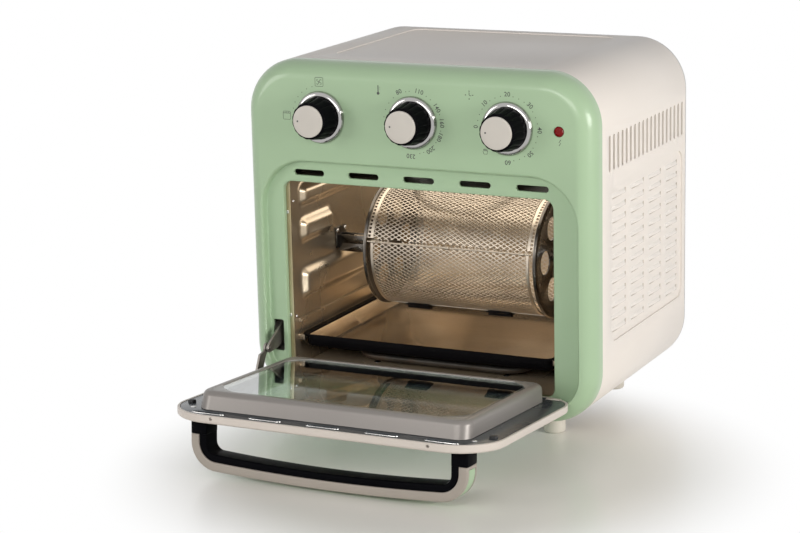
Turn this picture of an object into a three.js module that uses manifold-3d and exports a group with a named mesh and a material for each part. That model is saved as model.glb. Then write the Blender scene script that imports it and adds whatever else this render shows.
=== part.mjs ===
// Countertop air fryer oven: drop-down front door, rotating basket, drip tray and three dials.
// Millimetres, +Z up: x to the right, y to the rear from the front panel's face, z up from the table.
// The door is modelled open, as it rests. The group's origin is the middle of the bottom of its box.
import * as THREE from "three";
import { mergeVertices } from "three/addons/utils/BufferGeometryUtils.js";
import Module from "manifold-3d";

const wasm = await Module();
wasm.setup();

// General sizes
const seat = 0.3; // gap between pieces that touch
const overrun = 2; // how far a cut runs past the face that it cuts
const mergeDistance = 0.001;
const sheet = 1;

// Housing
const bodyWidth = 340;
const bodyHeight = 315;
const bodyDepth = 244.5;
const bodyCorner = 48;
const footHeight = 21.5;
const bodyHalf = bodyWidth / 2;
const bodyBottom = footHeight;
const bodyTop = bodyBottom + bodyHeight;
const footRadius = 10.2;
const footEdge = 2;
const footMargin = 58.5;
const footSide = bodyHalf - footMargin;
const footFront = 54;
const footRearMargin = 38.5;
const footRear = bodyDepth - footRearMargin;
const fasciaDepth = 23.4;
const fasciaWall = 2.6;
const fasciaEdgeDepth = 18;
const fasciaEdgeInset = 16;
const casingWall = 1.2;
const panelWall = 1.2;
const embossDepth = 0.8;
const embossCorner = 12;
const sidePanelFront = 44;
const sidePanelRearMargin = 9.5;
const sidePanelRear = bodyDepth - sidePanelRearMargin;
const sidePanelRise = 69;
const sidePanelBottom = bodyBottom + sidePanelRise;
const sidePanelDrop = 104;
const sidePanelTop = bodyTop - sidePanelDrop;
const topPanelMargin = 65;
const topPanelHalf = bodyHalf - topPanelMargin;
const topPanelFront = 53;
const topPanelRearMargin = 12.5;
const topPanelRear = bodyDepth - topPanelRearMargin;
const sideSlotCount = 19;
const sideSlotWidth = 4;
const sideSlotFront = 41.9;
const sideSlotRearMargin = 11.8;
const sideSlotPitch = (bodyDepth - sideSlotRearMargin - sideSlotFront) / (sideSlotCount - 1);
const sideSlotFoot = 90.5;
const sideSlotHead = 58.5;
const sideSlotBottom = bodyTop - sideSlotFoot;
const sideSlotTop = bodyTop - sideSlotHead;
const baseWindowMargin = 72;
const baseWindowHalf = bodyHalf - baseWindowMargin;
const baseWindowFront = 36;
const baseWindowRearMargin = 13.5;
const baseWindowRear = bodyDepth - baseWindowRearMargin;
const baseWindowCorner = 8;
const baseLap = 6;
const baseSlotCount = 7;
const baseSlotPitch = 24;
const baseSlotWidth = 6;
const baseSlotLength = 60;
const rearSlotCount = 10;
const rearSlotPitch = 12;
const rearSlotWidth = 4;
const rearSlotFoot = 74.5;
const rearSlotHead = 36.5;
const rearSlotBottom = bodyTop - rearSlotFoot;
const rearSlotTop = bodyTop - rearSlotHead;

// Recess for the door, opening, vent slots and hinge slot in the front panel
const recessMargin = 15.2;
const controlBand = 91.7; // from the top of the body to the recess
const recessWidth = bodyWidth - recessMargin - recessMargin;
const recessSill = 16.4;
const recessHeight = bodyHeight - controlBand - recessSill;
const recessTopCorner = 44.5;
const recessSillCorner = 29;
const recessDepth = 9.4;
const recessEdge = 3;
const openingSill = 6.5;
const openingHead = 20.6;
const openingHeight = recessHeight - openingHead - openingSill;
const openingCorner = 9;
const openingMarginLeft = 4;
const openingMarginRight = 1.5;
const openingLip = 2.4;
const openingLipWall = 1.5;
const ventCount = 5;
const ventMargin = 44.8; // from the side of the recess to the middle of the first slot
const ventPitch = (recessWidth - ventMargin - ventMargin) / (ventCount - 1);
const ventLength = 30.5;
const ventHeight = 6.4;
const ventDrop = 11.7; // from the top of the recess to the middle of the slots
const armSlotMargin = 2.8;
const armSlotLeft = armSlotMargin - recessWidth / 2;
const armSlotWidth = 10.8;
const armSlotRise = 24;
const armSlotBottom = bodyBottom + recessSill + armSlotRise;
const armSlotHeight = 30;
const armSlotCorner = 2;
const recessBottom = bodyBottom + recessSill;
const recessTop = recessBottom + recessHeight;
const recessRear = recessDepth + fasciaWall;
const openingBottom = recessBottom + openingSill;
const openingTop = openingBottom + openingHeight;
const lipRear = recessRear + openingLip;

// Cooking cavity
const cavityMargin = 39.5;
const cavityWidth = bodyWidth - cavityMargin - cavityMargin;
const cavityMiddle = -2.5;
const cavityRise = 3.3; // how far the ceiling is above the opening
const cavityHeight = openingHeight + cavityRise;
const rearSpace = 36.9; // behind the cavity and before its flange
const cavityDepth = bodyDepth - rearSpace; // from the flange's rear face to the back wall's front face
const flangeWidth = 7.8;
const flangeWidthRight = 6.4;
const flangeDrop = 3.9;
const flangeRise = 1.7;
const flangeCorner = 6;
const cavityLeft = cavityMiddle - cavityWidth / 2;
const cavityRight = cavityMiddle + cavityWidth / 2;
const openingLeft = cavityLeft - openingMarginLeft;
const openingRight = cavityRight + openingMarginRight;
const flangeFront = lipRear + seat;
const flangeRear = flangeFront + sheet;
const cavityFront = flangeRear + seat;
const cavityBack = flangeRear + cavityDepth - sheet;
const cavityFloor = openingBottom + sheet;
const cavityTop = openingBottom + cavityHeight;
const basketHeadroom = 19.1;
const basketSpace = 66.3; // above and below the basket together
const basketRadius = (cavityHeight - basketSpace) / 2;
const basketSetback = 96; // from the front of the cavity to the basket's axis
const basketY = cavityFront + basketSetback;
const basketZ = cavityTop - basketHeadroom - basketRadius;
const ribHeight = 4.5;
const ribTaper = 5;
const ribCorner = 7;
const ribMargin = 10;
const ribRearMargin = 22.3;
const shortRibLength = 72;
const ribFront = cavityFront + ribMargin;
const ribRear = cavityBack - ribRearMargin;
const shortRibRear = ribFront + shortRibLength;
const highRibDrop = 9.5;
const highRibHeight = 24;
const highRibTop = cavityTop - highRibDrop;
const highRibBottom = highRibTop - highRibHeight;
const middleRibRise = 10; // above the basket's axis
const middleRibHeight = 26;
const middleRibBottom = basketZ + middleRibRise;
const middleRibTop = middleRibBottom + middleRibHeight;
const lowRibDrop = 12; // below the basket's axis
const lowRibHeight = 32;
const lowRibTop = basketZ - lowRibDrop;
const lowRibBottom = lowRibTop - lowRibHeight;
const ledgeWidth = 5.5;
const ledgeRise = 30.7;
const ledgeTop = openingBottom + ledgeRise;
const ledgeHeight = 5.1;
const ledgeMargin = 8;
const ledgeRearMargin = 10.3;
const ledgeFront = cavityFront + ledgeMargin;
const ledgeRear = cavityBack - ledgeRearMargin;
const guideRise = 11.9;
const guideBottom = ledgeTop + guideRise;
const guideHeight = 3.5;
const guideWidth = 3;
const springTabHeight = 12;
const springTabWall = 4;

// Basket
const basketLeftMargin = 53.3;
const basketRightMargin = 34;
const basketLeft = cavityLeft + basketLeftMargin;
const basketRight = cavityRight - basketRightMargin;
const basketWall = 1.4;
const basketPlate = 1.2;
const basketRim = 6;
const basketVentShare = 0.1884;
const basketVentRadius = basketRadius * basketVentShare;
const basketVentCircleShare = 0.565;
const basketVentCircle = basketRadius * basketVentCircleShare;
const basketVentCount = 6;
const basketPinRadius = 3.5;
const basketPinLeft = 38.3;
const basketPinRight = 26;
const basketBar = 5.4;
const basketHoleRows = 10;
const basketHoleColumns = 6;
const flapHoleRows = 4;
const flapLowAngle = -77.3;
const flapHighAngle = 11;
const flapPinAngle = 12;
const flapPinRadius = 0.9;
const flapTubeRadius = 2.2;
const flapTubeBore = 1.2;
const drumLowAngle = -78.5;
const drumHighAngle = 15.5;
const latchWidth = 12;
const latchAngle = 6.5;
const latchGap = 0.5;
const latchWall = 1.5;
const latchShare = 0.24;
const bracketReach = 29;
const bracketTip = cavityLeft + bracketReach;
const bracketWidth = 14;
const bracketPlateWidth = 20;
const bracketPlateDrop = 9;
const bracketPlateRise = 11;
const bracketDrop = 12;
const bracketRise = 4;
const bracketPlateBottom = basketZ - bracketPlateDrop;
const bracketPlateTop = basketZ + bracketPlateRise;
const bracketWall = 1.2;
const bracketBottom = basketZ - bracketDrop;
const bracketCheekTop = basketZ + bracketRise;
const bracketPlay = 0.4;
const bracketGrooveWall = 2.5;
const socketReach = 28;
const socketLeft = cavityRight - socketReach;
const socketRadius = 7.5;
const socketHole = 8.5;
const basketMotorRadius = 25;
const basketMotorDepth = 20.7;

// Drip tray
const trayMargin = 13.6;
const trayDepth = cavityDepth - trayMargin;
const trayHeight = 11.6;
const trayCorner = 8;

// Heaters and fan
const heaterTube = 3.25;
const upperHeaterDrop = 8.5;
const upperHeaterZ = cavityTop - upperHeaterDrop;
const upperHeaterRadius = 50;
const upperHeaterLegs = 16; // half the distance between the two legs
const heaterTail = 12;
const lowerHeaterRise = 8;
const lowerHeaterZ = cavityFloor + lowerHeaterRise;
const lowerHeaterMargin = 45.5;
const lowerHeaterHalf = cavityWidth / 2 - lowerHeaterMargin;
const lowerHeaterSetback = 34;
const lowerHeaterFront = cavityFront + lowerHeaterSetback;
const lowerHeaterBend = 24;
const fanShift = 0.85; // behind the middle of the cavity
const fanY = (cavityFront + cavityBack) / 2 + fanShift;
const fanHole = 62;
const guardRadius = 66;
const guardSlotCount = 16;
const guardSlotInner = 16;
const guardSlotOuter = 58;
const guardSlotWidth = 5;
const shroudRadius = 70;
const shroudFlange = 77;
const shroudHeight = 23.2;
const fanShaftHole = 5;
const fanShaftRadius = 3;
const impellerRadius = 55;
const impellerHub = 12;
const impellerRise = 3.5;
const impellerBottom = cavityTop + impellerRise;
const impellerHeight = 14;
const impellerPlate = 1.5;
const bladeCount = 10;
const bladeWall = 1.2;
const bladeInner = 22;
const fanMotorRadius = 30;
const fanMotorHeight = 38;

// Controls
const dialMargin = 78.7;
const dialDrop = 49.5;
const dialPitch = bodyHalf - dialMargin;
const dialZ = bodyTop - dialDrop;
const dialBaseRadius = 23.9;
const dialBaseHeight = 4.2;
const dialBaseEdge = 1.3;
const dialBaseDome = 19.9;
const dialGripRadius = 19.5;
const dialGripTip = 16.8;
const dialGripEnd = 24;
const dialGripEdge = 1.2;
const dialFlute = 0.7;
const dialFlutes = 16;
const dialFluteSteps = 3;
const dialCapRadius = 14.5;
const dialCapHeight = 1.7;
const dialCapEdge = 0.6;
const dialShaftRadius = 3;
const dialShaftHole = 4.2;
const functionSwitchSize = 40;
const functionSwitchDepth = 26;
const thermostatRadius = 19;
const thermostatDepth = 19;
const timerSize = 44;
const timerDepth = 34;
const lampMargin = 30.8;
const lampX = bodyHalf - lampMargin;
const lampDrop = 0.2;
const lampRadius = 4.5;
const lampFlange = 6.2;
const lampProud = 1.5;
const lampTail = 6;

// Cord gland
const glandMargin = 60;
const glandRise = 43.5;
const glandX = bodyHalf - glandMargin;
const glandZ = bodyBottom + glandRise;
const glandBore = 3.6;
const glandNeck = 5.7;
const glandFlange = 8.2;
const glandFlangeWall = 2;
const glandSnout = 5.5;

// Door: x across, v from its axis to its free edge, w from its axis towards the cavity when closed
const hingeY = 2.6;
const hingeRise = 5.5;
const hingeZ = recessBottom + hingeRise;
const doorRestAngle = 85.9; // how far the door has dropped from closed, as it rests
const doorSideGap = 1.6;
const doorTopGap = 1;
const doorHalf = recessWidth / 2 - doorSideGap;
const doorLow = -4.4;
const doorHigh = recessHeight - hingeRise - doorTopGap;
const doorFreeCorner = 43;
const doorHingeCorner = 30.5;
const doorFront = -4;
const doorRim = 3.4;
const doorWall = 2.2;
const doorEdge = 2.5;
const outerWindowLow = 22;
const outerWindowCorner = 12;
const outerGlassLap = 12;
const outerGlassWall = 3.2;
const liner = 1.2;
const linerFace = 3.2;
const linerGap = 0.5;
const linerWindowLow = 18;
const linerSlotDrop = 10.9;
const linerSlotV = doorHigh - linerSlotDrop;
const linerSlotHeight = 6;
const innerMargin = 26;
const innerDrop = 23.9;
const innerDraftSide = 1; // how much wider the frame is at its foot
const innerDraftEdge = 4;
const innerHalf = doorHalf - innerMargin;
const innerLow = 7.5;
const innerHigh = doorHigh - innerDrop;
const outerWindowMargin = 15.2; // inside the inner frame's side
const outerWindowDrop = 38.5; // below the inner frame's top
const outerWindowHalf = innerHalf - outerWindowMargin;
const outerWindowHigh = innerHigh - outerWindowDrop;
const linerWindowMargin = 13.2;
const linerWindowDrop = 14.5;
const linerWindowHalf = innerHalf - linerWindowMargin;
const linerWindowHigh = innerHigh - linerWindowDrop;
const innerCorner = 11;
const innerTop = 18.8;
const innerWall = 1.5;
const innerLap = 10;
const innerGlassWall = 3;
const glassGap = 0.4;
const pinRadius = 1.8;
const pinInnerMargin = 27.2;
const pinOuterMargin = 5.2;
const pinInner = doorHalf - pinInnerMargin;
const pinOuter = doorHalf - pinOuterMargin;
const bossLap = 1;
const bossWidth = 13;
const bossInner = pinInner - bossLap;
const bossOuter = bossInner + bossWidth;
const bossHalf = 4;

// Handle, in the door's own directions
const handleDrop = 36.4;
const handleLow = doorHigh - handleDrop;
const handleWidth = 20.5;
const postInnerMargin = 37.7;
const postOuterMargin = 22.5;
const postInner = doorHalf - postInnerMargin;
const postOuter = doorHalf - postOuterMargin;
const trimStart = -17.5;
const trimWall = 8.2;
const trimCorner = 25;
const handleFront = -49.8;
const handleBow = 3.2;
const gripInner = -34.7;
const gripInnerBow = 3.8;
const gripInnerCorner = 8;
const inlayWidth = 12;
const inlayWall = 1.5;
const inlayStart = -21;

// Hinge lever on the left side
const leverPivotV = 15;
const leverPivotW = 25;
const leverAngle = 28;
const leverLength = 52;
const leverEnd = 4.5;
const leverRise = 5;
const leverBelly = 12;
const leverMargin = 5.6;
const leverLeft = leverMargin - doorHalf;
const leverWall = 2.4;
const earMargin = 2.7;
const earLeft = earMargin - doorHalf;
const earWall = 2;
const earTip = 4.5;
const earLow = 24;
const earHigh = 36;
const earFloor = -1.5;
const leverPinRadius = 2;
const leverPinMargin = 1.8;
const leverPinLength = 6.9;
const leverPinLeft = leverPinMargin - doorHalf;
const leverPinRight = leverPinLeft + leverPinLength;
const springRadius = 3.6;
const springTabMargin = 52.3;
const springTabRise = 12.6; // above the door's axis
const springTabLeft = leverLeft - leverWall;
const springTabY = cavityBack - springTabMargin;
const springTabZ = hingeZ + springTabRise;
const springGap = 1.3;

// Counts for round shapes
const turnSteps = 28;
const smallTurnSteps = 16;
const bigCorner = 3; // an arc takes twice as many steps
const smallCorner = 2;
const tubeSides = 8;
const edgeSteps = 3;
const tubeSteps = 44;

// Places that follow from the sizes above
const rearPanelFront = bodyDepth - panelWall;
const basketAxleRight = basketRight + basketPinRight;
const drumOuter = basketRadius - basketPlate - seat;
const drumInner = drumOuter - basketWall;
const trayLeft = cavityLeft + ledgeWidth + sheet;
const trayRight = cavityRight - ledgeWidth - sheet;
const trayRim = ledgeTop + seat + sheet;
const trayFront = hingeY + innerTop + sheet;
const impellerShaftTop = cavityTop + sheet + seat + shroudHeight;
const doorTurn = THREE.MathUtils.degToRad(doorRestAngle);

// Directions that outlines are drawn in
const right = new THREE.Vector3(1, 0, 0);
const rearwards = new THREE.Vector3(0, 1, 0);
const up = new THREE.Vector3(0, 0, 1);
const forwards = rearwards.clone().negate();
const fromFront = new THREE.Matrix4().makeBasis(right, up, forwards);
const fromSide = new THREE.Matrix4().makeBasis(rearwards, up, right);
const fromAbove = new THREE.Matrix4();

// A closed mesh as a solid that can be joined and cut; its faces are turned outwards.
function solid(geometry) {
  const plain = new THREE.BufferGeometry();
  plain.setAttribute("position", geometry.getAttribute("position"));
  plain.setIndex(geometry.index);
  const merged = mergeVertices(plain, mergeDistance);
  const faces = [];
  for (let i = 0; i < merged.index.count; i += 3) {
    const corners = [0, 1, 2].map((k) => merged.index.getX(i + k));
    if (new Set(corners).size === 3) faces.push(...corners);
  }
  const vertProperties = merged.attributes.position.array;
  const closed = (list) =>
    new wasm.Manifold(new wasm.Mesh({ numProp: 3, vertProperties, triVerts: new Uint32Array(list) }));
  const body = closed(faces);
  return body.volume() < 0 ? closed(faces.reverse()) : body;
}

const joined = (bodies) => bodies.reduce((all, body) => all.add(body));
const cut = (body, ...tools) => tools.flat().reduce((left, tool) => left.subtract(tool), body);

// One named piece of the oven.
function piece(name, body, finish) {
  const data = body.getMesh();
  const geometry = new THREE.BufferGeometry();
  geometry.setAttribute("position", new THREE.BufferAttribute(new Float32Array(data.vertProperties), 3));
  geometry.setIndex(new THREE.BufferAttribute(new Uint32Array(data.triVerts), 1));
  geometry.computeVertexNormals();
  const mesh = new THREE.Mesh(geometry, finish);
  mesh.name = name;
  return mesh;
}

function group(...members) {
  const held = new THREE.Group();
  held.add(...members.flat());
  return held;
}

// Outline of a rectangle with round corners, given alike or from the lower left, counterclockwise.
function rounded(left, rightSide, bottom, top, corner) {
  const [a, b, c, d] = Array.isArray(corner) ? corner : [corner, corner, corner, corner];
  const shape = new THREE.Shape();
  shape.moveTo(left + a, bottom);
  shape.lineTo(rightSide - b, bottom);
  shape.absarc(rightSide - b, bottom + b, b, -Math.PI / 2, 0, false);
  shape.lineTo(rightSide, top - c);
  shape.absarc(rightSide - c, top - c, c, 0, Math.PI / 2, false);
  shape.lineTo(left + d, top);
  shape.absarc(left + d, top - d, d, Math.PI / 2, Math.PI, false);
  shape.lineTo(left, bottom + a);
  shape.absarc(left + a, bottom + a, a, Math.PI, (3 * Math.PI) / 2, false);
  return shape;
}

function polygon(points) {
  return new THREE.Shape(points.map(([x, y]) => new THREE.Vector2(x, y)));
}

// An outline pushed through from low to high along the direction it is seen from.
function prism(shape, low, high, view, curveSegments) {
  const options = { depth: high - low, bevelEnabled: false, curveSegments };
  const geometry = new THREE.ExtrudeGeometry(shape, options);
  geometry.translate(0, 0, low);
  return solid(geometry.applyMatrix4(view));
}

const facing = (shape, front, rear, steps = bigCorner) =>
  prism(shape, -rear, -front, fromFront, steps);
const sideways = (shape, left, rightSide, steps = smallCorner) =>
  prism(shape, left, rightSide, fromSide, steps);
const upright = (shape, bottom, top, steps = smallCorner) =>
  prism(shape, bottom, top, fromAbove, steps);

function block(left, rightSide, front, rear, bottom, top) {
  const geometry = new THREE.BoxGeometry(rightSide - left, rear - front, top - bottom);
  geometry.translate((left + rightSide) / 2, (front + rear) / 2, (bottom + top) / 2);
  return solid(geometry);
}

// A profile of radius and height turned about an axis; a profile off the axis closes on itself.
function turned(profile, axis, steps = turnSteps) {
  const points = profile.map(([radius, height]) => new THREE.Vector2(radius, height));
  if (points[0].x > 0) points.push(points[0].clone());
  const geometry = new THREE.LatheGeometry(points, steps);
  if (axis === "x") geometry.rotateZ(-Math.PI / 2);
  if (axis === "z") geometry.rotateX(Math.PI / 2);
  return solid(geometry);
}

const rod = (radius, from, to, axis, steps = smallTurnSteps) =>
  turned([[0, from], [radius, from], [radius, to], [0, to]], axis, steps);

// A skin over rings with as many points each, closed at both ends; each ring has its outline and its depth.
function loft(rings, view) {
  const count = rings[0].outline.length;
  const positions = [];
  const faces = [];
  for (const { outline, at } of rings) outline.forEach((p) => positions.push(p.x, p.y, at));
  for (let k = 0; k + 1 < rings.length; k += 1) {
    for (let i = 0; i < count; i += 1) {
      const [a, b] = [k * count + i, k * count + ((i + 1) % count)];
      faces.push(a, b, b + count, a, b + count, a + count);
    }
  }
  for (const k of [0, rings.length - 1]) {
    const { outline, at } = rings[k];
    const middle = outline.reduce((sum, p) => sum.add(p), new THREE.Vector2()).divideScalar(count);
    const hub = positions.length / 3;
    positions.push(middle.x, middle.y, at);
    for (let i = 0; i < count; i += 1) {
      const [a, b] = [k * count + i, k * count + ((i + 1) % count)];
      faces.push(hub, ...(k ? [a, b] : [b, a]));
    }
  }
  const geometry = new THREE.BufferGeometry();
  geometry.setAttribute("position", new THREE.Float32BufferAttribute(positions, 3));
  geometry.setIndex(faces);
  return solid(geometry.applyMatrix4(view));
}

// The points of an outline, without the last one where it repeats the first.
function outlinePoints(shape, steps = bigCorner) {
  const points = shape.getPoints(steps);
  const unique = points.filter((p, i) => p.distanceTo(points[(i + 1) % points.length]) > mergeDistance);
  return unique;
}

function tube(points, radius, steps) {
  const path = new THREE.CatmullRomCurve3(points, false, "centripetal");
  const section = new THREE.Shape().absarc(0, 0, radius, 0, 2 * Math.PI, false);
  const geometry = new THREE.ExtrudeGeometry(section, {
    steps,
    extrudePath: path,
    curveSegments: tubeSides / 2,
    bevelEnabled: false,
  });
  return solid(geometry);
}

const degrees = (angle) => THREE.MathUtils.degToRad(angle);

// Finishes
const paint = (color, roughness, metalness = 0) =>
  new THREE.MeshStandardMaterial({ color, roughness, metalness, flatShading: true });
const mint = paint(0xa2c49e, 0.35);
const cream = paint(0xe8e2da, 0.3);
const steel = paint(0xb9bcc0, 0.35, 0.9);
const chrome = paint(0xdcdcdc, 0.12, 1);
const bronze = paint(0xa88c55, 0.4, 0.8);
const slate = paint(0x4d545c, 0.35, 0.5);
const pewter = paint(0x9b9da0, 0.35, 0.7);
const enamel = paint(0x17181a, 0.3);
const black = paint(0x1a1a1c, 0.5);
const ruby = paint(0xc02020, 0.15);
const clear = paint(0x9fb4b0, 0.05);
const mica = paint(0xd9c9a0, 0.6);

// Front panel

const bodyOutline = (inset) =>
  rounded(-bodyHalf + inset, bodyHalf - inset, bodyBottom + inset, bodyTop - inset, bodyCorner - inset);

const recessOutline = (grow) => {
  const [sill, head] = [recessSillCorner + grow, recessTopCorner + grow];
  const half = recessWidth / 2 + grow;
  return rounded(-half, half, recessBottom - grow, recessTop + grow, [sill, sill, head, head]);
};

const openingOutline = (grow) =>
  rounded(
    openingLeft - grow,
    openingRight + grow,
    openingBottom - grow,
    openingTop + grow,
    openingCorner + grow,
  );

// A soft-edged block: its front face is smaller than its outline by the edge's inset.
function softBlock(shrink, front, rear) {
  const rings = [{ outline: outlinePoints(bodyOutline(shrink)), at: -rear }];
  for (let i = edgeSteps; i >= 0; i -= 1) {
    const turn = (i / edgeSteps) * (Math.PI / 2);
    const inset = shrink + fasciaEdgeInset * (1 - Math.sin(turn));
    rings.push({
      outline: outlinePoints(bodyOutline(inset)),
      at: -(front + (fasciaEdgeDepth - front) * (1 - Math.cos(turn))),
    });
  }
  return loft(rings, fromFront);
}

const ventMiddles = Array.from({ length: ventCount }, (_, i) => (i - (ventCount - 1) / 2) * ventPitch);

// A slot with round ends.
const roundSlot = (x, z, length, height) =>
  rounded(x - length / 2, x + length / 2, z - height / 2, z + height / 2, height / 2);

function makeFrontPanel() {
  const inside = softBlock(fasciaWall, fasciaWall, fasciaDepth + overrun);
  const shell = softBlock(0, 0, fasciaDepth).subtract(inside);
  const pan = facing(recessOutline(fasciaWall), fasciaWall / 2, recessRear);
  const lip = facing(openingOutline(openingLipWall), recessDepth, lipRear, smallCorner);
  const recess = facing(recessOutline(0), -overrun, recessDepth);
  const chamfer = loft(
    [
      { outline: outlinePoints(recessOutline(0)), at: -recessEdge },
      { outline: outlinePoints(recessOutline(recessEdge + overrun)), at: overrun },
    ],
    fromFront,
  );
  const opening = facing(openingOutline(0), recessDepth - overrun, lipRear + overrun, smallCorner);
  const slotFaces = [recessDepth - overrun, recessRear + overrun];
  const vents = ventMiddles.map((x) =>
    facing(roundSlot(x, recessTop - ventDrop, ventLength, ventHeight), ...slotFaces, smallCorner),
  );
  const armSlot = facing(
    rounded(
      armSlotLeft,
      armSlotLeft + armSlotWidth,
      armSlotBottom,
      armSlotBottom + armSlotHeight,
      armSlotCorner,
    ),
    ...slotFaces,
    smallCorner,
  );
  const dialHoles = [-dialPitch, 0, dialPitch].map((x) =>
    rod(dialShaftHole, -overrun, fasciaWall + overrun, "y").translate(x, 0, dialZ),
  );
  const lampBore = rod(lampRadius + seat, -overrun, fasciaWall + overrun, "y");
  const lampHole = lampBore.translate(lampX, 0, dialZ - lampDrop);
  const pinHoles = [-pinOuter - overrun, pinInner].map((left) =>
    rod(pinRadius + seat, left, left + pinOuter + overrun - pinInner, "x").translate(0, hingeY, hingeZ),
  );
  const holes = [...vents, armSlot, ...dialHoles, lampHole, ...pinHoles];
  return cut(joined([shell, pan, lip]), recess, chamfer, opening, holes);
}

// Casing, rear panel, base plate and feet

function makeCasing() {
  const [front, rear] = [fasciaDepth + seat, rearPanelFront - seat];
  const shell = facing(bodyOutline(0), front, rear).subtract(
    facing(bodyOutline(casingWall), front - overrun, rear + overrun),
  );
  const sidePanel = (grow) =>
    rounded(
      sidePanelFront - grow,
      sidePanelRear + grow,
      sidePanelBottom - grow,
      sidePanelTop + grow,
      embossCorner + grow,
    );
  const topPanel = (grow) =>
    rounded(
      -topPanelHalf - grow,
      topPanelHalf + grow,
      topPanelFront - grow,
      topPanelRear + grow,
      embossCorner + grow,
    );
  const [skinOuter, skinInner] = [bodyHalf - embossDepth, bodyHalf - embossDepth - casingWall];
  const pads = [
    sideways(sidePanel(casingWall), skinInner, skinOuter + embossDepth / 2),
    sideways(sidePanel(casingWall), -skinOuter - embossDepth / 2, -skinInner),
    upright(topPanel(casingWall), bodyTop - embossDepth - casingWall, bodyTop - embossDepth / 2),
  ];
  const dishes = [
    sideways(sidePanel(0), skinOuter, bodyHalf + overrun),
    sideways(sidePanel(0), -bodyHalf - overrun, -skinOuter),
    upright(topPanel(0), bodyTop - embossDepth, bodyTop + overrun),
  ];
  const slots = Array.from({ length: sideSlotCount }, (_, i) => {
    const y = sideSlotFront + i * sideSlotPitch;
    return [-bodyHalf - overrun, bodyHalf - casingWall - overrun].map((left) =>
      block(
        left,
        left + casingWall + overrun + overrun,
        y - sideSlotWidth / 2,
        y + sideSlotWidth / 2,
        sideSlotBottom,
        sideSlotTop,
      ),
    );
  });
  const window = upright(
    rounded(-baseWindowHalf, baseWindowHalf, baseWindowFront, baseWindowRear, baseWindowCorner),
    bodyBottom - overrun,
    bodyBottom + casingWall + overrun,
  );
  return cut(joined([shell, ...pads]), dishes, slots.flat(), window);
}

function makeRearPanel() {
  const through = [rearPanelFront - overrun, bodyDepth + overrun];
  const slots = Array.from({ length: rearSlotCount }, (_, i) => {
    const x = (i - (rearSlotCount - 1) / 2) * rearSlotPitch;
    const half = rearSlotWidth / 2;
    return block(x - half, x + half, ...through, rearSlotBottom, rearSlotTop);
  });
  const hole = rod(glandNeck + seat, ...through, "y").translate(glandX, 0, glandZ);
  return cut(facing(bodyOutline(0), rearPanelFront, bodyDepth), slots, hole);
}

function makeBasePlate() {
  const bottom = bodyBottom + casingWall + seat;
  const half = baseWindowHalf + baseLap;
  const [front, rear] = [baseWindowFront - baseLap, baseWindowRear + baseLap];
  const plate = upright(rounded(-half, half, front, rear, baseWindowCorner), bottom, bottom + panelWall);
  const slots = Array.from({ length: baseSlotCount }, (_, i) => {
    const x = (i - (baseSlotCount - 1) / 2) * baseSlotPitch;
    const y = (front + rear) / 2;
    return block(
      x - baseSlotWidth / 2,
      x + baseSlotWidth / 2,
      y - baseSlotLength / 2,
      y + baseSlotLength / 2,
      bottom - overrun,
      bottom + panelWall + overrun,
    );
  });
  return cut(plate, slots);
}

const makeFoot = () =>
  turned(
    [
      [0, 0],
      [footRadius - footEdge, 0],
      [footRadius, footEdge],
      [footRadius, footHeight - seat],
      [0, footHeight - seat],
    ],
    "z",
    smallTurnSteps,
  );

function makeGland() {
  const [inside, outside] = [rearPanelFront - seat, bodyDepth + seat];
  return turned(
    [
      [glandBore, inside - glandFlangeWall],
      [glandFlange, inside - glandFlangeWall],
      [glandFlange, inside],
      [glandNeck, inside],
      [glandNeck, outside],
      [glandFlange, outside],
      [glandFlange, outside + glandFlangeWall],
      [glandSnout, outside + glandFlangeWall + glandFlangeWall],
      [glandBore, outside + glandFlangeWall + glandFlangeWall],
    ],
    "y",
    smallTurnSteps,
  ).translate(glandX, 0, glandZ);
}

// Cooking cavity

function makeFlange() {
  const outer = rounded(
    cavityLeft - flangeWidth,
    cavityRight + flangeWidthRight,
    cavityFloor - flangeDrop,
    cavityTop + flangeRise,
    flangeCorner,
  );
  const inner = rounded(cavityLeft, cavityRight, cavityFloor, cavityTop, flangeCorner);
  return facing(outer, flangeFront, flangeRear, smallCorner).subtract(
    facing(inner, flangeFront - overrun, flangeRear + overrun, smallCorner),
  );
}

// A pressed rib that swells from the wall towards the inside: side is 1 on the left wall, -1 on the right.
function pillow(wall, side, front, rear, bottom, top) {
  const ring = (inset, x) => ({
    outline: outlinePoints(
      rounded(front + inset, rear - inset, bottom + inset, top - inset, ribCorner),
      smallCorner,
    ),
    at: x,
  });
  const rings = [
    ring(0, wall - (side * sheet) / 2),
    ring(0, wall),
    ring(ribTaper, wall + side * ribHeight),
  ];
  return loft(rings, fromSide);
}

function makeSideWall(side) {
  const inner = side > 0 ? cavityLeft : cavityRight;
  const across = (from, to) => [Math.min(from, to), Math.max(from, to)];
  const wall = block(
    ...across(inner, inner - side * sheet),
    cavityFront,
    cavityBack - seat,
    cavityFloor + seat,
    cavityTop - seat,
  );
  const step = (width) => across(inner - (side * sheet) / 2, inner + side * width);
  const ledge = block(...step(ledgeWidth), ledgeFront, ledgeRear, ledgeTop - ledgeHeight, ledgeTop);
  const guide = block(...step(guideWidth), ledgeFront, ledgeRear, guideBottom, guideBottom + guideHeight);
  const ribs = [
    pillow(inner, side, ribFront, ribRear, highRibBottom, highRibTop),
    pillow(inner, side, ribFront, shortRibRear, middleRibBottom, middleRibTop),
    pillow(inner, side, ribFront, ribRear, lowRibBottom, lowRibTop),
  ];
  return joined([wall, ledge, guide, ...ribs]);
}

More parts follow.
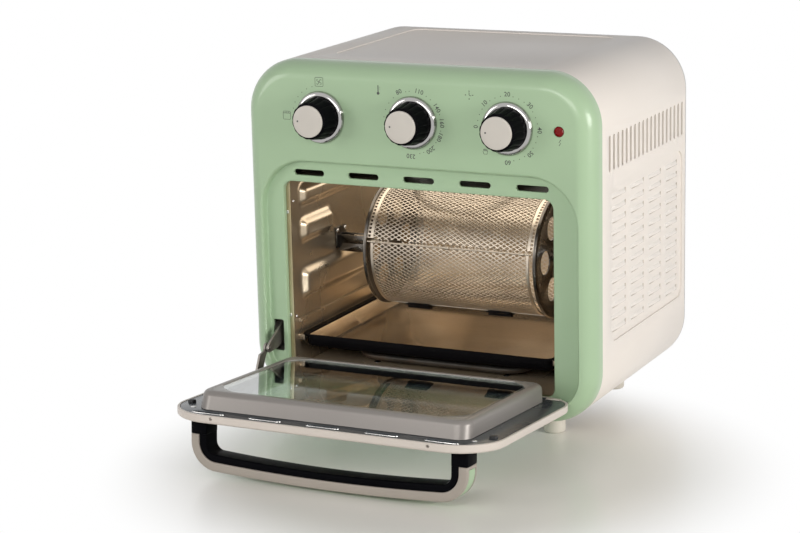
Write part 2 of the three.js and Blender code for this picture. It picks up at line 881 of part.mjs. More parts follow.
function makeLeftWall() {
  const tab = block(
    springTabLeft,
    cavityLeft - sheet / 2,
    springTabY - springTabWall / 2,
    springTabY + springTabWall / 2,
    springTabZ - springTabHeight / 2,
    springTabZ + springTabHeight / 2,
  );
  return makeSideWall(1).add(tab);
}

function makeRightWall() {
  const hole = rod(socketHole, cavityRight - overrun, cavityRight + sheet + overrun, "x");
  return makeSideWall(-1).subtract(hole.translate(0, basketY, basketZ));
}

const heaterHole = (x, z) =>
  rod(heaterTube + seat, cavityBack - overrun, cavityBack + sheet + overrun, "y").translate(x, 0, z);

function makeBackWall() {
  const wall = block(
    cavityLeft - sheet,
    cavityRight + sheet,
    cavityBack,
    cavityBack + sheet,
    cavityFloor + seat,
    cavityTop - seat,
  );
  const holes = [
    heaterHole(cavityMiddle - upperHeaterLegs, upperHeaterZ),
    heaterHole(cavityMiddle + upperHeaterLegs, upperHeaterZ),
    heaterHole(cavityMiddle - lowerHeaterHalf, lowerHeaterZ),
    heaterHole(cavityMiddle + lowerHeaterHalf, lowerHeaterZ),
  ];
  return cut(wall, holes);
}

const cavityPlate = (bottom) =>
  block(cavityLeft - sheet, cavityRight + sheet, cavityFront, cavityBack + sheet, bottom, bottom + sheet);

function makeCeiling() {
  const hole = rod(fanHole, cavityTop - overrun, cavityTop + sheet + overrun, "z", turnSteps);
  return cavityPlate(cavityTop).subtract(hole.translate(cavityMiddle, fanY, 0));
}

// Heaters and fan, modelled about the fan's axis or in place

function makeUpperHeater() {
  const reach = cavityBack + sheet + heaterTail;
  const gap = Math.asin(upperHeaterLegs / (upperHeaterRadius + heaterTube + heaterTube));
  const points = [new THREE.Vector3(cavityMiddle - upperHeaterLegs, reach, upperHeaterZ)];
  const stepCount = turnSteps;
  for (let i = 0; i <= stepCount; i += 1) {
    const angle = Math.PI / 2 + gap + (i / stepCount) * (2 * Math.PI - gap - gap);
    points.push(
      new THREE.Vector3(
        cavityMiddle + upperHeaterRadius * Math.cos(angle),
        fanY + upperHeaterRadius * Math.sin(angle),
        upperHeaterZ,
      ),
    );
  }
  points.push(new THREE.Vector3(cavityMiddle + upperHeaterLegs, reach, upperHeaterZ));
  return straightEnded(points, upperHeaterLegs, upperHeaterRadius + fanY + upperHeaterLegs);
}

// A tube whose first and last stretches run straight to the rear, side by side, from the given depth.
function straightEnded(points, half, depth) {
  const z = points[0].z;
  const near = (x) => new THREE.Vector3(x, depth, z);
  const inner = points.slice(1, -1);
  const path = [points[0], near(cavityMiddle - half), ...inner, near(cavityMiddle + half), points.at(-1)];
  return tube(path, heaterTube, tubeSteps);
}

function makeLowerHeater() {
  const reach = cavityBack + sheet + heaterTail;
  const [left, rightSide] = [cavityMiddle - lowerHeaterHalf, cavityMiddle + lowerHeaterHalf];
  const bend = (x, from) =>
    Array.from({ length: edgeSteps + 1 }, (_, i) => {
      const angle = from + ((i / edgeSteps) * Math.PI) / 2;
      return new THREE.Vector3(
        x + lowerHeaterBend * Math.cos(angle),
        lowerHeaterFront + lowerHeaterBend + lowerHeaterBend * Math.sin(angle),
        lowerHeaterZ,
      );
    });
  const points = [
    new THREE.Vector3(left, reach, lowerHeaterZ),
    ...bend(left + lowerHeaterBend, Math.PI),
    ...bend(rightSide - lowerHeaterBend, (3 * Math.PI) / 2),
    new THREE.Vector3(rightSide, reach, lowerHeaterZ),
  ];
  return straightEnded(points, lowerHeaterHalf, cavityBack - heaterTail);
}

function makeGuard() {
  const top = cavityTop - seat;
  const disc = rod(guardRadius, top - panelWall, top, "z", turnSteps);
  const slots = Array.from({ length: guardSlotCount }, (_, i) => {
    const slot = block(
      guardSlotInner,
      guardSlotOuter,
      -guardSlotWidth / 2,
      guardSlotWidth / 2,
      top - panelWall - overrun,
      top + overrun,
    );
    return slot.rotate([0, 0, (i * 360) / guardSlotCount]);
  });
  return cut(disc, slots).translate(cavityMiddle, fanY, 0);
}

function makeShroud() {
  const bottom = cavityTop + sheet + seat;
  const top = bottom + shroudHeight;
  return turned(
    [
      [fanShaftHole, top],
      [shroudRadius, top],
      [shroudRadius, bottom + sheet],
      [shroudFlange, bottom + sheet],
      [shroudFlange, bottom],
      [shroudRadius - sheet, bottom],
      [shroudRadius - sheet, top - sheet],
      [fanShaftHole, top - sheet],
    ],
    "z",
  ).translate(cavityMiddle, fanY, 0);
}

function makeImpeller() {
  const plateTop = impellerBottom + impellerPlate;
  const bladeTop = impellerBottom + impellerHeight;
  const core = turned(
    [
      [0, impellerBottom],
      [impellerRadius, impellerBottom],
      [impellerRadius, plateTop],
      [impellerHub, plateTop],
      [impellerHub, bladeTop],
      [fanShaftRadius, bladeTop],
      [fanShaftRadius, impellerShaftTop],
      [0, impellerShaftTop],
    ],
    "z",
  );
  const blades = Array.from({ length: bladeCount }, (_, i) =>
    block(
      bladeInner,
      impellerRadius - bladeWall,
      -bladeWall / 2,
      bladeWall / 2,
      impellerBottom + impellerPlate / 2,
      bladeTop,
    ).rotate([0, 0, (i * 360) / bladeCount]),
  );
  return joined([core, ...blades]).translate(cavityMiddle, fanY, 0);
}

const makeFanMotor = () =>
  rod(
    fanMotorRadius,
    impellerShaftTop + seat,
    impellerShaftTop + seat + fanMotorHeight,
    "z",
    turnSteps,
  ).translate(cavityMiddle, fanY, 0);

// Basket, about its own axis

// A slice of a ring, by its angles up from the front.
function ringSlice(inner, outer, low, high, steps) {
  const at = (radius, angle) => [-radius * Math.cos(degrees(angle)), radius * Math.sin(degrees(angle))];
  const angles = Array.from({ length: steps + 1 }, (_, i) => low + ((high - low) * i) / steps);
  return polygon([...angles.map((a) => at(outer, a)), ...angles.reverse().map((a) => at(inner, a))]);
}

// Square holes through a curved skin, in rows between two angles and columns between two ends.
function skinHoles(low, high, rows, left, rightSide, columns) {
  const barAngle = THREE.MathUtils.radToDeg(basketBar / drumOuter);
  const rowPitch = (high - low - barAngle) / rows;
  const columnPitch = (rightSide - left - basketBar) / columns;
  const holes = [];
  for (let i = 0; i < rows; i += 1) {
    const angle = low + barAngle + i * rowPitch + (rowPitch - barAngle) / 2;
    const half = (degrees(rowPitch - barAngle) * drumInner) / 2;
    for (let k = 0; k < columns; k += 1) {
      const start = left + basketBar + k * columnPitch;
      const hole = block(
        start,
        start + columnPitch - basketBar,
        -drumOuter - overrun,
        -drumInner + overrun,
        -half,
        half,
      );
      holes.push(hole.rotate([-angle, 0, 0]));
    }
  }
  return holes;
}

const drumLeft = basketLeft + basketPlate + seat;
const drumRight = basketRight - basketPlate - seat;
const flapLeft = basketLeft + basketPlate + basketRim + seat;
const flapRight = basketRight - basketPlate - basketRim - seat;
const flapPinY = -basketRadius * Math.cos(degrees(flapPinAngle));
const flapPinZ = basketRadius * Math.sin(degrees(flapPinAngle));

function makeDrum() {
  const [low, high] = [drumHighAngle, drumLowAngle + 360];
  const skin = sideways(
    ringSlice(drumInner, drumOuter, low, high, basketHoleRows + basketHoleRows),
    drumLeft,
    drumRight,
  );
  return cut(skin, skinHoles(low, high, basketHoleRows, drumLeft, drumRight, basketHoleColumns));
}

function makeFlap() {
  const skin = sideways(
    ringSlice(drumInner, drumOuter, flapLowAngle, flapHighAngle, flapHoleRows + flapHoleRows),
    flapLeft,
    flapRight,
  );
  const high = flapHighAngle - latchAngle / 2;
  const holes = skinHoles(flapLowAngle, high, flapHoleRows, flapLeft, flapRight, basketHoleColumns);
  const toHinge = [0, flapPinY, flapPinZ];
  const hingeTube = rod(flapTubeRadius, flapLeft, flapRight, "x", smallTurnSteps).translate(toHinge);
  const bore = rod(flapTubeBore, flapLeft - overrun, flapRight + overrun, "x").translate(toHinge);
  const latches = [latchShare, 1 - latchShare].map((share) => {
    const middle = flapLeft + (flapRight - flapLeft) * share;
    const [low, lap] = [flapLowAngle - latchAngle, flapLowAngle + latchAngle / 2];
    const clear = drumOuter + latchGap;
    const outside = ringSlice(clear, clear + latchWall, low, lap, smallCorner);
    const root = ringSlice(drumInner, clear + latchWall / 2, flapLowAngle, lap, smallCorner);
    const span = [middle - latchWidth / 2, middle + latchWidth / 2];
    return sideways(outside, ...span).add(sideways(root, ...span));
  });
  return cut(joined([cut(skin, holes), hingeTube, ...latches]), bore);
}

const makeFlapPin = () => rod(flapPinRadius, flapLeft, flapRight, "x").translate(0, flapPinY, flapPinZ);

function makeBasketEnd(side) {
  const face = side < 0 ? basketLeft : basketRight;
  const inward = (distance) => face - side * distance;
  const pinEnd = side < 0 ? basketLeft - basketPinLeft : basketAxleRight;
  const shell = turned(
    [
      [0, face],
      [basketRadius, face],
      [basketRadius, inward(basketPlate + basketRim)],
      [basketRadius - basketPlate, inward(basketPlate + basketRim)],
      [basketRadius - basketPlate, inward(basketPlate)],
      [0, inward(basketPlate)],
    ],
    "x",
    turnSteps + turnSteps / 2,
  );
  const pinRoot = inward(basketPlate / 2);
  const pin = rod(basketPinRadius, Math.min(pinRoot, pinEnd), Math.max(pinRoot, pinEnd), "x");
  const vents = Array.from({ length: basketVentCount }, (_, i) =>
    rod(basketVentRadius, inward(overrun + basketPlate), inward(-overrun), "x")
      .translate(0, basketVentCircle, 0)
      .rotate([(i * 360) / basketVentCount, 0, 0]),
  );
  return cut(shell, vents).add(pin);
}

function makeSocket() {
  const end = cavityRight + sheet;
  return turned(
    [
      [0, end],
      [socketRadius, end],
      [socketRadius, socketLeft],
      [basketPinRadius + seat, socketLeft],
      [basketPinRadius + seat, basketAxleRight + seat],
      [0, basketAxleRight + seat],
    ],
    "x",
    smallTurnSteps,
  );
}

// Bracket with an upright groove, in which the basket's left pin turns.
function makeBracket() {
  const base = cavityLeft + seat;
  const groove = basketPinRadius + bracketPlay;
  const bar = block(
    base,
    bracketTip,
    basketY - bracketWidth / 2,
    basketY + bracketWidth / 2,
    bracketBottom,
    bracketCheekTop,
  );
  const plate = block(
    base,
    base + bracketWall,
    basketY - bracketPlateWidth / 2,
    basketY + bracketPlateWidth / 2,
    bracketPlateBottom,
    bracketPlateTop,
  );
  const channel = block(
    base + bracketWall,
    bracketTip + overrun,
    basketY - groove,
    basketY + groove,
    basketZ,
    bracketCheekTop + overrun,
  );
  const bed = rod(groove, base + bracketWall, bracketTip + overrun, "x").translate(0, basketY, basketZ);
  const waste = [-1, 1].map((side) => {
    const from = basketY + side * (groove + bracketGrooveWall);
    const to = basketY + side * (bracketWidth / 2 + overrun);
    return block(
      base + bracketWall,
      bracketTip + overrun,
      Math.min(from, to),
      Math.max(from, to),
      basketZ - groove,
      bracketCheekTop + overrun,
    );
  });
  return cut(bar.add(plate), channel, bed, waste);
}

const makeBasketMotor = () =>
  rod(
    basketMotorRadius,
    cavityRight + sheet + seat,
    cavityRight + sheet + seat + basketMotorDepth,
    "x",
    turnSteps,
  ).translate(0, basketY, basketZ);

// Drip tray

function makeTray() {
  const bottom = trayRim - trayHeight;
  const plan = (inset) =>
    rounded(
      trayLeft + inset,
      trayRight - inset,
      trayFront + inset,
      trayFront + trayDepth - inset,
      trayCorner - inset,
    );
  const inside = upright(plan(sheet), bottom + sheet, trayRim + overrun);
  const pan = upright(plan(0), bottom, trayRim).subtract(inside);
  const lap = ledgeWidth - sheet;
  const flange = upright(
    rounded(trayLeft - lap, trayRight + lap, trayFront, trayFront + trayDepth, trayCorner),
    trayRim - sheet,
    trayRim,
  ).subtract(upright(plan(sheet), trayRim - sheet - overrun, trayRim + overrun));
  return pan.add(flange);
}

// Controls

const makeDialBase = () =>
  turned(
    [
      [dialShaftRadius + seat, -seat],
      [dialBaseRadius, -seat],
      [dialBaseRadius, -seat - dialBaseEdge],
      [dialBaseDome, -seat - dialBaseHeight],
      [dialShaftRadius + seat, -seat - dialBaseHeight],
    ],
    "y",
  );

function fluted(radius) {
  const count = dialFlutes * dialFluteSteps;
  return Array.from({ length: count }, (_, i) => {
    const angle = (i / count) * 2 * Math.PI;
    const reach = radius - (i % dialFluteSteps ? 0 : dialFlute);
    return new THREE.Vector2(reach * Math.cos(angle), reach * Math.sin(angle));
  });
}

function makeDialGrip() {
  const start = seat + dialBaseHeight + seat;
  const body = loft(
    [
      { outline: fluted(dialGripRadius), at: start },
      { outline: fluted(dialGripTip), at: dialGripEnd - dialGripEdge },
      { outline: fluted(dialGripTip - dialGripEdge), at: dialGripEnd },
    ],
    fromFront,
  );
  return body.add(rod(dialShaftRadius, -start - seat, fasciaWall, "y"));
}

function makeDialCap() {
  const back = -dialGripEnd - seat;
  const face = back - dialCapHeight;
  return turned(
    [
      [0, back],
      [dialCapRadius, back],
      [dialCapRadius, face + dialCapEdge],
      [dialCapRadius - dialCapEdge, face],
      [0, face],
    ],
    "y",
  );
}

function makeDial(name, x) {
  const dial = group(
    piece(`${name}_knob_base`, makeDialBase(), chrome),
    piece(`${name}_knob_grip`, makeDialGrip(), black),
    piece(`${name}_knob_cap`, makeDialCap(), cream),
  );
  dial.position.set(x, 0, dialZ);
  return dial;
}

const squareSwitch = (x, size, depth) => {
  const front = fasciaWall + seat;
  return block(x - size / 2, x + size / 2, front, front + depth, dialZ - size / 2, dialZ + size / 2);
};

const makeThermostat = () =>
  rod(thermostatRadius, fasciaWall + seat, fasciaWall + seat + thermostatDepth, "y").translate(0, 0, dialZ);

function makeLamp() {
  const flange = fasciaWall + seat;
  return turned(
    [
      [0, -lampProud],
      [lampRadius / 2, -lampProud],
      [lampRadius, 0],
      [lampRadius, flange],
      [lampFlange, flange],
      [lampFlange, flange + sheet],
      [lampRadius, flange + lampTail],
      [0, flange + lampTail],
    ],
    "y",
    smallTurnSteps,
  ).translate(lampX, 0, dialZ - lampDrop);
}

// Door, about its axis, standing closed: x across, v upwards, w to the rear

const doorOutline = (inset) => {
  const [hinge, free] = [doorHingeCorner - inset, doorFreeCorner - inset];
  return rounded(
    -doorHalf + inset,
    doorHalf - inset,
    doorLow + inset,
    doorHigh - inset,
    [hinge, hinge, free, free],
  );
};

// A block at the hinge corner that carries the pin, trimmed to the door's outline.
const doorBoss = (side) => {
  const [from, to] = side < 0 ? [-bossOuter, -bossInner] : [bossInner, bossOuter];
  const [front, low] = [doorFront + doorWall / 2, doorLow + doorWall / 2];
  const outline = facing(doorOutline(doorWall / 2), front, doorRim);
  return block(from, to, front, doorRim, low, bossHalf).intersect(outline);
};

function makeDoorFrame() {
  const rings = [{ outline: outlinePoints(doorOutline(0)), at: -doorRim }];
  for (let i = smallCorner + 1; i >= 0; i -= 1) {
    const turn = (i / (smallCorner + 1)) * (Math.PI / 2);
    rings.push({
      outline: outlinePoints(doorOutline(doorEdge * (1 - Math.sin(turn)))),
      at: -(doorFront + doorEdge * (1 - Math.cos(turn))),
    });
  }
  const hollow = facing(doorOutline(doorWall), doorFront + doorWall, doorRim + overrun);
  const window = facing(
    rounded(-outerWindowHalf, outerWindowHalf, outerWindowLow, outerWindowHigh, outerWindowCorner),
    doorFront - overrun,
    doorFront + doorWall + overrun,
    smallCorner,
  );
  const pan = cut(loft(rings, fromFront), hollow, window);
  const bores = [-doorHalf, pinInner - seat].map((from) =>
    rod(pinRadius + seat, from, from + doorHalf - pinInner + seat, "x"),
  );
  return cut(joined([pan, doorBoss(-1), doorBoss(1)]), bores);
}

function makeOuterGlass() {
  const half = outerWindowHalf + outerGlassLap;
  const front = doorFront + doorWall + seat;
  return facing(
    rounded(
      -half,
      half,
      outerWindowLow - outerGlassLap,
      outerWindowHigh + outerGlassLap,
      outerWindowCorner,
    ),
    front,
    front + outerGlassWall,
    smallCorner,
  );
}

function makeLiner() {
  const back = linerFace - liner;
  const plate = facing(doorOutline(doorWall + linerGap), back, linerFace);
  const window = facing(
    rounded(-linerWindowHalf, linerWindowHalf, linerWindowLow, linerWindowHigh, innerCorner),
    back - overrun,
    linerFace + overrun,
    smallCorner,
  );
  const through = [back - overrun, linerFace + overrun];
  const slots = ventMiddles.map((x) =>
    facing(roundSlot(x, linerSlotV, ventLength, linerSlotHeight), ...through, smallCorner),
  );
  const bossNotches = [-doorHalf, bossInner - linerGap].map((left) =>
    block(
      left,
      left + doorHalf - bossInner + linerGap,
      back - overrun,
      linerFace + overrun,
      doorLow - overrun,
      bossHalf + linerGap,
    ),
  );
  const earNotch = block(
    -doorHalf,
    earLeft + earWall + linerGap,
    back - overrun,
    linerFace + overrun,
    earLow - overrun,
    earHigh + overrun,
  );
  return cut(plate, window, slots, bossNotches, earNotch);
}

const innerOutline = (inset) =>
  rounded(
    -innerHalf + inset,
    innerHalf - inset,
    innerLow + inset,
    innerHigh - inset,
    innerCorner - inset,
  );

function makeInnerFrame() {
  const floor = linerFace + seat;
  const flangeTop = innerTop - innerGlassWall - seat;
  const foot = rounded(
    -innerHalf - innerDraftSide,
    innerHalf + innerDraftSide,
    innerLow,
    innerHigh + innerDraftEdge,
    innerCorner,
  );
  const body = loft(
    [
      { outline: outlinePoints(innerOutline(0)), at: -innerTop },
      { outline: outlinePoints(foot), at: -floor },
    ],
    fromFront,
  );
  const pocket = facing(innerOutline(innerWall), flangeTop, innerTop + overrun);
  const hollow = facing(innerOutline(innerWall), floor - overrun, flangeTop - innerWall);
  const window = facing(
    rounded(
      -innerHalf + innerLap,
      innerHalf - innerLap,
      innerLow + innerLap,
      innerHigh - innerLap,
      innerCorner,
    ),
    floor,
    innerTop,
    smallCorner,
  );
  return cut(body, pocket, hollow, window);
}

const makeInnerGlass = () =>
  facing(innerOutline(innerWall + glassGap), innerTop - innerGlassWall, innerTop);

// The handle's bar, drawn in x and w: a U that is offset inwards from its outer face.
function handlePath(inset, start) {
  const side = postOuter - inset;
  const corner = trimCorner - inset;
  const front = handleFront + inset;
  const shape = new THREE.Shape();
  shape.moveTo(side, start);
  shape.lineTo(side, front + corner);
  shape.absarc(side - corner, front + corner, corner, 0, -Math.PI / 2, true);
  shape.quadraticCurveTo(0, front - handleBow - handleBow, -side + corner, front);
  shape.absarc(-side + corner, front + corner, corner, -Math.PI / 2, -Math.PI, true);
  shape.lineTo(-side, start);
  return shape.getPoints(smallCorner + smallCorner);
}

const handleInnerPath = (start) => {
  const corner = gripInnerCorner;
  const shape = new THREE.Shape();
  shape.moveTo(postInner, start);
  shape.lineTo(postInner, gripInner + corner);
  shape.absarc(postInner - corner, gripInner + corner, corner, 0, -Math.PI / 2, true);
  shape.quadraticCurveTo(0, gripInner - gripInnerBow - gripInnerBow, -postInner + corner, gripInner);
  shape.absarc(-postInner + corner, gripInner + corner, corner, -Math.PI / 2, -Math.PI, true);
  shape.lineTo(-postInner, start);
  return shape.getPoints(smallCorner + smallCorner);
};

// A band between two paths, as high in v as given.
function band(outer, inner, low, high) {
  const shape = new THREE.Shape([...outer, ...inner.slice().reverse()]);
  return upright(shape, low, high);
}

const handleTop = handleLow + handleWidth;
const inlayLow = handleLow + (handleWidth - inlayWidth) / 2;

function makeGrip() {
  const foot = doorFront - seat;
  const start = trimStart - seat;
  const outer = handlePath(trimWall + seat, start);
  const bar = band(outer, handleInnerPath(start), handleLow, handleTop);
  const posts = [-postOuter, postInner].map((left) =>
    block(left, left + postOuter - postInner, start - mergeDistance, foot, handleLow, handleTop),
  );
  return joined([bar, ...posts]);
}

function makeTrim() {
  const start = trimStart - seat - seat;
  const body = band(handlePath(0, start), handlePath(trimWall, start), handleLow, handleTop);
  const groove = band(
    handlePath(-overrun, inlayStart + seat),
    handlePath(inlayWall + seat, inlayStart + seat),
    inlayLow - seat,
    inlayLow + inlayWidth + seat,
  );
  return body.subtract(groove);
}

const makeInlay = () =>
  band(handlePath(0, inlayStart), handlePath(inlayWall, inlayStart), inlayLow, inlayLow + inlayWidth);

// Hinge lever, ear, pins and spring

function makeEar() {
  const reach = Math.hypot(leverPivotV, leverPivotW);
  const lean = Math.atan2(leverPivotV, leverPivotW);
  const tip = (angle) => [
    leverPivotW + earTip * Math.cos(angle),
    leverPivotV + earTip * Math.sin(angle),
  ];
  const steps = smallTurnSteps / 2;
  const tips = Array.from({ length: steps + 1 }, (_, i) =>
    tip(lean - Math.PI / 2 + (i * Math.PI) / steps),
  );
  const inner = reach - earTip;
  const neck = leverPivotW - earTip - earTip;
  const outline = [
    [earFloor, earLow],
    [linerFace, earLow],
    [neck, Math.sqrt(inner * inner - neck * neck)],
    ...tips,
    [leverPivotW - earTip, earLow + earTip],
    [linerFace, earHigh],
    [earFloor, earHigh],
  ];
  const plate = sideways(polygon(outline), earLeft, earLeft + earWall);
  const hole = rod(leverPinRadius + seat, earLeft - overrun, earLeft + earWall + overrun, "x");
  return plate.subtract(hole.translate(0, leverPivotW, leverPivotV));
}

const makeLeverPin = () =>
  rod(leverPinRadius, leverPinLeft, leverPinRight, "x").translate(0, leverPivotW, leverPivotV);

// The lever lies along its own length, from its pivot, and is turned to its angle afterwards.
function makeLever() {
  const half = leverLength / 2;
  const end = (centre, from) =>
    Array.from({ length: tubeSides + 1 }, (_, i) => {
      const angle = from + (i * Math.PI) / tubeSides;
      return [centre + leverEnd * Math.cos(angle), leverEnd * Math.sin(angle)];
    });
  const outline = [
    ...end(0, Math.PI / 2),
    [half, -leverBelly],
    ...end(leverLength, -Math.PI / 2),
    [half, leverRise],
  ];
  const plate = sideways(polygon(outline), leverLeft, leverLeft + leverWall);
  const through = [leverLeft - overrun, leverLeft + leverWall + overrun];
  const holes = [0, leverLength].map((y) =>
    rod(leverPinRadius + seat, ...through, "x").translate(0, y, 0),
  );
  return cut(plate, holes);
}

function makeHingePin(side) {
  const span = side < 0 ? [-pinOuter, -pinInner] : [pinInner, pinOuter];
  return rod(pinRadius, ...span, "x").translate(0, hingeY, hingeZ);
}

const leverPivot = new THREE.Vector3(
  0,
  hingeY + leverPivotW * Math.cos(doorTurn) - leverPivotV * Math.sin(doorTurn),
  hingeZ + leverPivotW * Math.sin(doorTurn) + leverPivotV * Math.cos(doorTurn),
);

function makeSpring() {
  const slope = degrees(leverAngle);
  const x = leverLeft + leverWall / 2;
  const from = new THREE.Vector3(
    x,
    leverPivot.y + leverLength * Math.cos(slope),
    leverPivot.z + leverLength * Math.sin(slope),
  );
  const to = new THREE.Vector3(x, springTabY - springTabWall / 2, springTabZ);
  const along = to.clone().sub(from).normalize();
  from.addScaledVector(along, leverEnd + springGap);
  to.addScaledVector(along, -springGap);
  const middle = from.clone().lerp(to, 1 / 2);
  return tube([from, middle, to], springRadius, 2);
}

// The assembly

const frontPlace = [
  ["front_left", -footSide, footFront],
  ["front_right", footSide, footFront],
  ["rear_left", -footSide, footRear],
  ["rear_right", footSide, footRear],
];

const housing = group(
  piece("front_panel", makeFrontPanel(), mint),
  piece("outer_casing", makeCasing(), cream),
  piece("rear_panel", makeRearPanel(), steel),
  piece("base_plate", makeBasePlate(), steel),
  frontPlace.map(([name, x, y]) => {
    const foot = piece(`foot_${name}`, makeFoot(), cream);
    foot.position.set(x, y, 0);
    return foot;
  }),
  piece("cord_gland", makeGland(), black),
  piece("indicator_lamp", makeLamp(), ruby),
  piece("function_switch", squareSwitch(-dialPitch, functionSwitchSize, functionSwitchDepth), black),
  piece("thermostat", makeThermostat(), steel),
  piece("timer", squareSwitch(dialPitch, timerSize, timerDepth), steel),
  piece("hinge_pin_left", makeHingePin(-1), steel),
  piece("hinge_pin_right", makeHingePin(1), steel),
  piece("hinge_spring", makeSpring(), steel),
);

const cavity = group(
  piece("cavity_flange", makeFlange(), bronze),
  piece("cavity_left_wall", makeLeftWall(), bronze),
  piece("cavity_right_wall", makeRightWall(), bronze),
  piece("cavity_back_wall", makeBackWall(), bronze),
  piece("cavity_floor", cavityPlate(cavityFloor - sheet), bronze),
  piece("cavity_ceiling", makeCeiling(), bronze),
  piece("upper_heater", makeUpperHeater(), pewter),
  piece("lower_heater", makeLowerHeater(), pewter),
  piece("fan_guard", makeGuard(), bronze),
  piece("fan_shroud", makeShroud(), steel),
  piece("fan_impeller", makeImpeller(), steel),
  piece("fan_motor", makeFanMotor(), steel),
  piece("bearing_bracket", makeBracket(), steel),
  piece("rotisserie_motor", makeBasketMotor(), mica),
  piece("drip_tray", makeTray(), enamel),
);

const basket = group(
  piece("basket_drum", makeDrum(), pewter),
  piece("basket_end_left", makeBasketEnd(-1), pewter),
  piece("basket_end_right", makeBasketEnd(1), pewter),
  piece("basket_door_pin", makeFlapPin(), steel),
  piece("drive_socket", makeSocket(), steel),
  piece("basket_door", makeFlap(), pewter),
);
basket.position.set(0, basketY, basketZ);

const handle = group(
  piece("handle_grip", makeGrip(), black),
  piece("handle_trim", makeTrim(), cream),
  piece("handle_inlay", makeInlay(), mint),
);

const door = group(
  piece("door_outer_frame", makeDoorFrame(), cream),
  piece("outer_glass", makeOuterGlass(), clear),
  piece("door_liner", makeLiner(), slate),
  piece("door_inner_frame", makeInnerFrame(), pewter),
  piece("inner_glass", makeInnerGlass(), clear),
  piece("hinge_ear", makeEar(), steel),
  piece("lever_pin", makeLeverPin(), steel),
  handle,
);
door.position.set(0, hingeY, hingeZ);
door.rotation.x = doorTurn;

const lever = group(piece("hinge_lever", makeLever(), slate));
lever.position.copy(leverPivot);
lever.rotation.x = degrees(leverAngle);

const oven = group(
  housing,
  cavity,
  basket,
  makeDial("function", -dialPitch),
  makeDial("temperature", 0),
  makeDial("timer", dialPitch),
  door,
  lever,
);
oven.updateMatrixWorld(true);
const box = new THREE.Box3().setFromObject(oven, true);
oven.position.set(-(box.min.x + box.max.x) / 2, -(box.min.y + box.max.y) / 2, -box.min.z);

export default oven;
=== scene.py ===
"""Countertop air fryer oven with its door open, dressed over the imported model."""
from math import asin, atan2, cos, hypot, pi, radians, sin, sqrt

import bmesh
import bpy
from mathutils import Matrix, Vector


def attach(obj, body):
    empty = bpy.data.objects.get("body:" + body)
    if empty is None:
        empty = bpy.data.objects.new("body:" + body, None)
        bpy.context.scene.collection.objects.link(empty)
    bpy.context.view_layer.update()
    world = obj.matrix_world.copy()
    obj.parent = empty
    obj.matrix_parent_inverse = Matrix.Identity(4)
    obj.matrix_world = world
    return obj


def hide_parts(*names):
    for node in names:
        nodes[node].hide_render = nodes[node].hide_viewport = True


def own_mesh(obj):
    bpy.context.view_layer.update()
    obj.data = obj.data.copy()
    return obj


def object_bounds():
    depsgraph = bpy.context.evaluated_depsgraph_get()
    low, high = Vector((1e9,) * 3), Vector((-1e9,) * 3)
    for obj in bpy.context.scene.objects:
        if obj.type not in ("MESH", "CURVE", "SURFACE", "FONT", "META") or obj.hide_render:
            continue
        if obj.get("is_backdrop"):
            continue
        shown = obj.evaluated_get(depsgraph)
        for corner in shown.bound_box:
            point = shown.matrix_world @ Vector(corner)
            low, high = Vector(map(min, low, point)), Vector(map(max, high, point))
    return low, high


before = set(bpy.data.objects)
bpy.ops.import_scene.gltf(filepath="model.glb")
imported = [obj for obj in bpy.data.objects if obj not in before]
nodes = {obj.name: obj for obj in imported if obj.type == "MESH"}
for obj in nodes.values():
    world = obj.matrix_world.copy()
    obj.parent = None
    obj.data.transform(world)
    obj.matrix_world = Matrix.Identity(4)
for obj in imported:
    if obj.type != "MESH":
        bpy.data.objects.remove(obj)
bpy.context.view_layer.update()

# Sizes in millimetres: placement

MM = 0.001
SHIFT = -25.7028  # the front panel's face lies this far behind the model's middle
HINGE_Y = 2.6
HINGE_Z = 43.4
DOOR_TURN = radians(85.9)  # from the door's own frame to the open door
AXIS_RADIUS = 0.001  # where a turned profile ends on its axis

# Sizes: body

BODY_HALF = 170
BODY_LOW = 21.5
BODY_HIGH = 336.5
BODY_CORNER = 48
FASCIA_REAR = 23.4
REAR_FACE = 244.5
DIAL_X = 91.3
DIAL_Z = 287
LAMP_X = 139.2
LAMP_Z = 286.8
VENTS = [(i - 2) * 55 for i in range(5)]
VENT_HALF = 15.25
SIDES = (("left", -1), ("right", 1))
CORNER_STEPS = 18

# Sizes: cavity and basket

WALL_LEFT = -133
WALL_RIGHT = 128
FLOOR_TOP = 45.4
AXLE_Y = 112
AXLE_Z = 150


def at(x, y, z):
    """A point given in millimetres from the front panel's face, in the model's frame."""
    return Vector((x, y + SHIFT, z)) * MM


def on_door(x, v, w):
    """A point of the door: v from its axis to its free edge, w towards the inside."""
    c, s = cos(DOOR_TURN), sin(DOOR_TURN)
    return at(x, HINGE_Y + w * c - v * s, HINGE_Z + w * s + v * c)


# Outlines and forms

def rounded(left, right, low, high, radius, steps=12):
    """Outline of a rectangle with round corners, from the lower left, counterclockwise."""
    radii = radius if isinstance(radius, (list, tuple)) else (radius,) * 4
    middles = [(left, low), (right, low), (right, high), (left, high)]
    signs = [(1, 1), (-1, 1), (-1, -1), (1, -1)]
    points = []
    for k, ((x, z), (sx, sz), r) in enumerate(zip(middles, signs, radii)):
        r = max(r, 0.05)
        for i in range(steps + 1):
            a = pi + k * pi / 2 + i / steps * pi / 2
            points.append((x + sx * r + r * cos(a), z + sz * r + r * sin(a)))
    return points


def circle(radius, steps, middle=(0, 0)):
    return [(middle[0] + radius * cos(a), middle[1] + radius * sin(a)) for a in angles(steps)]


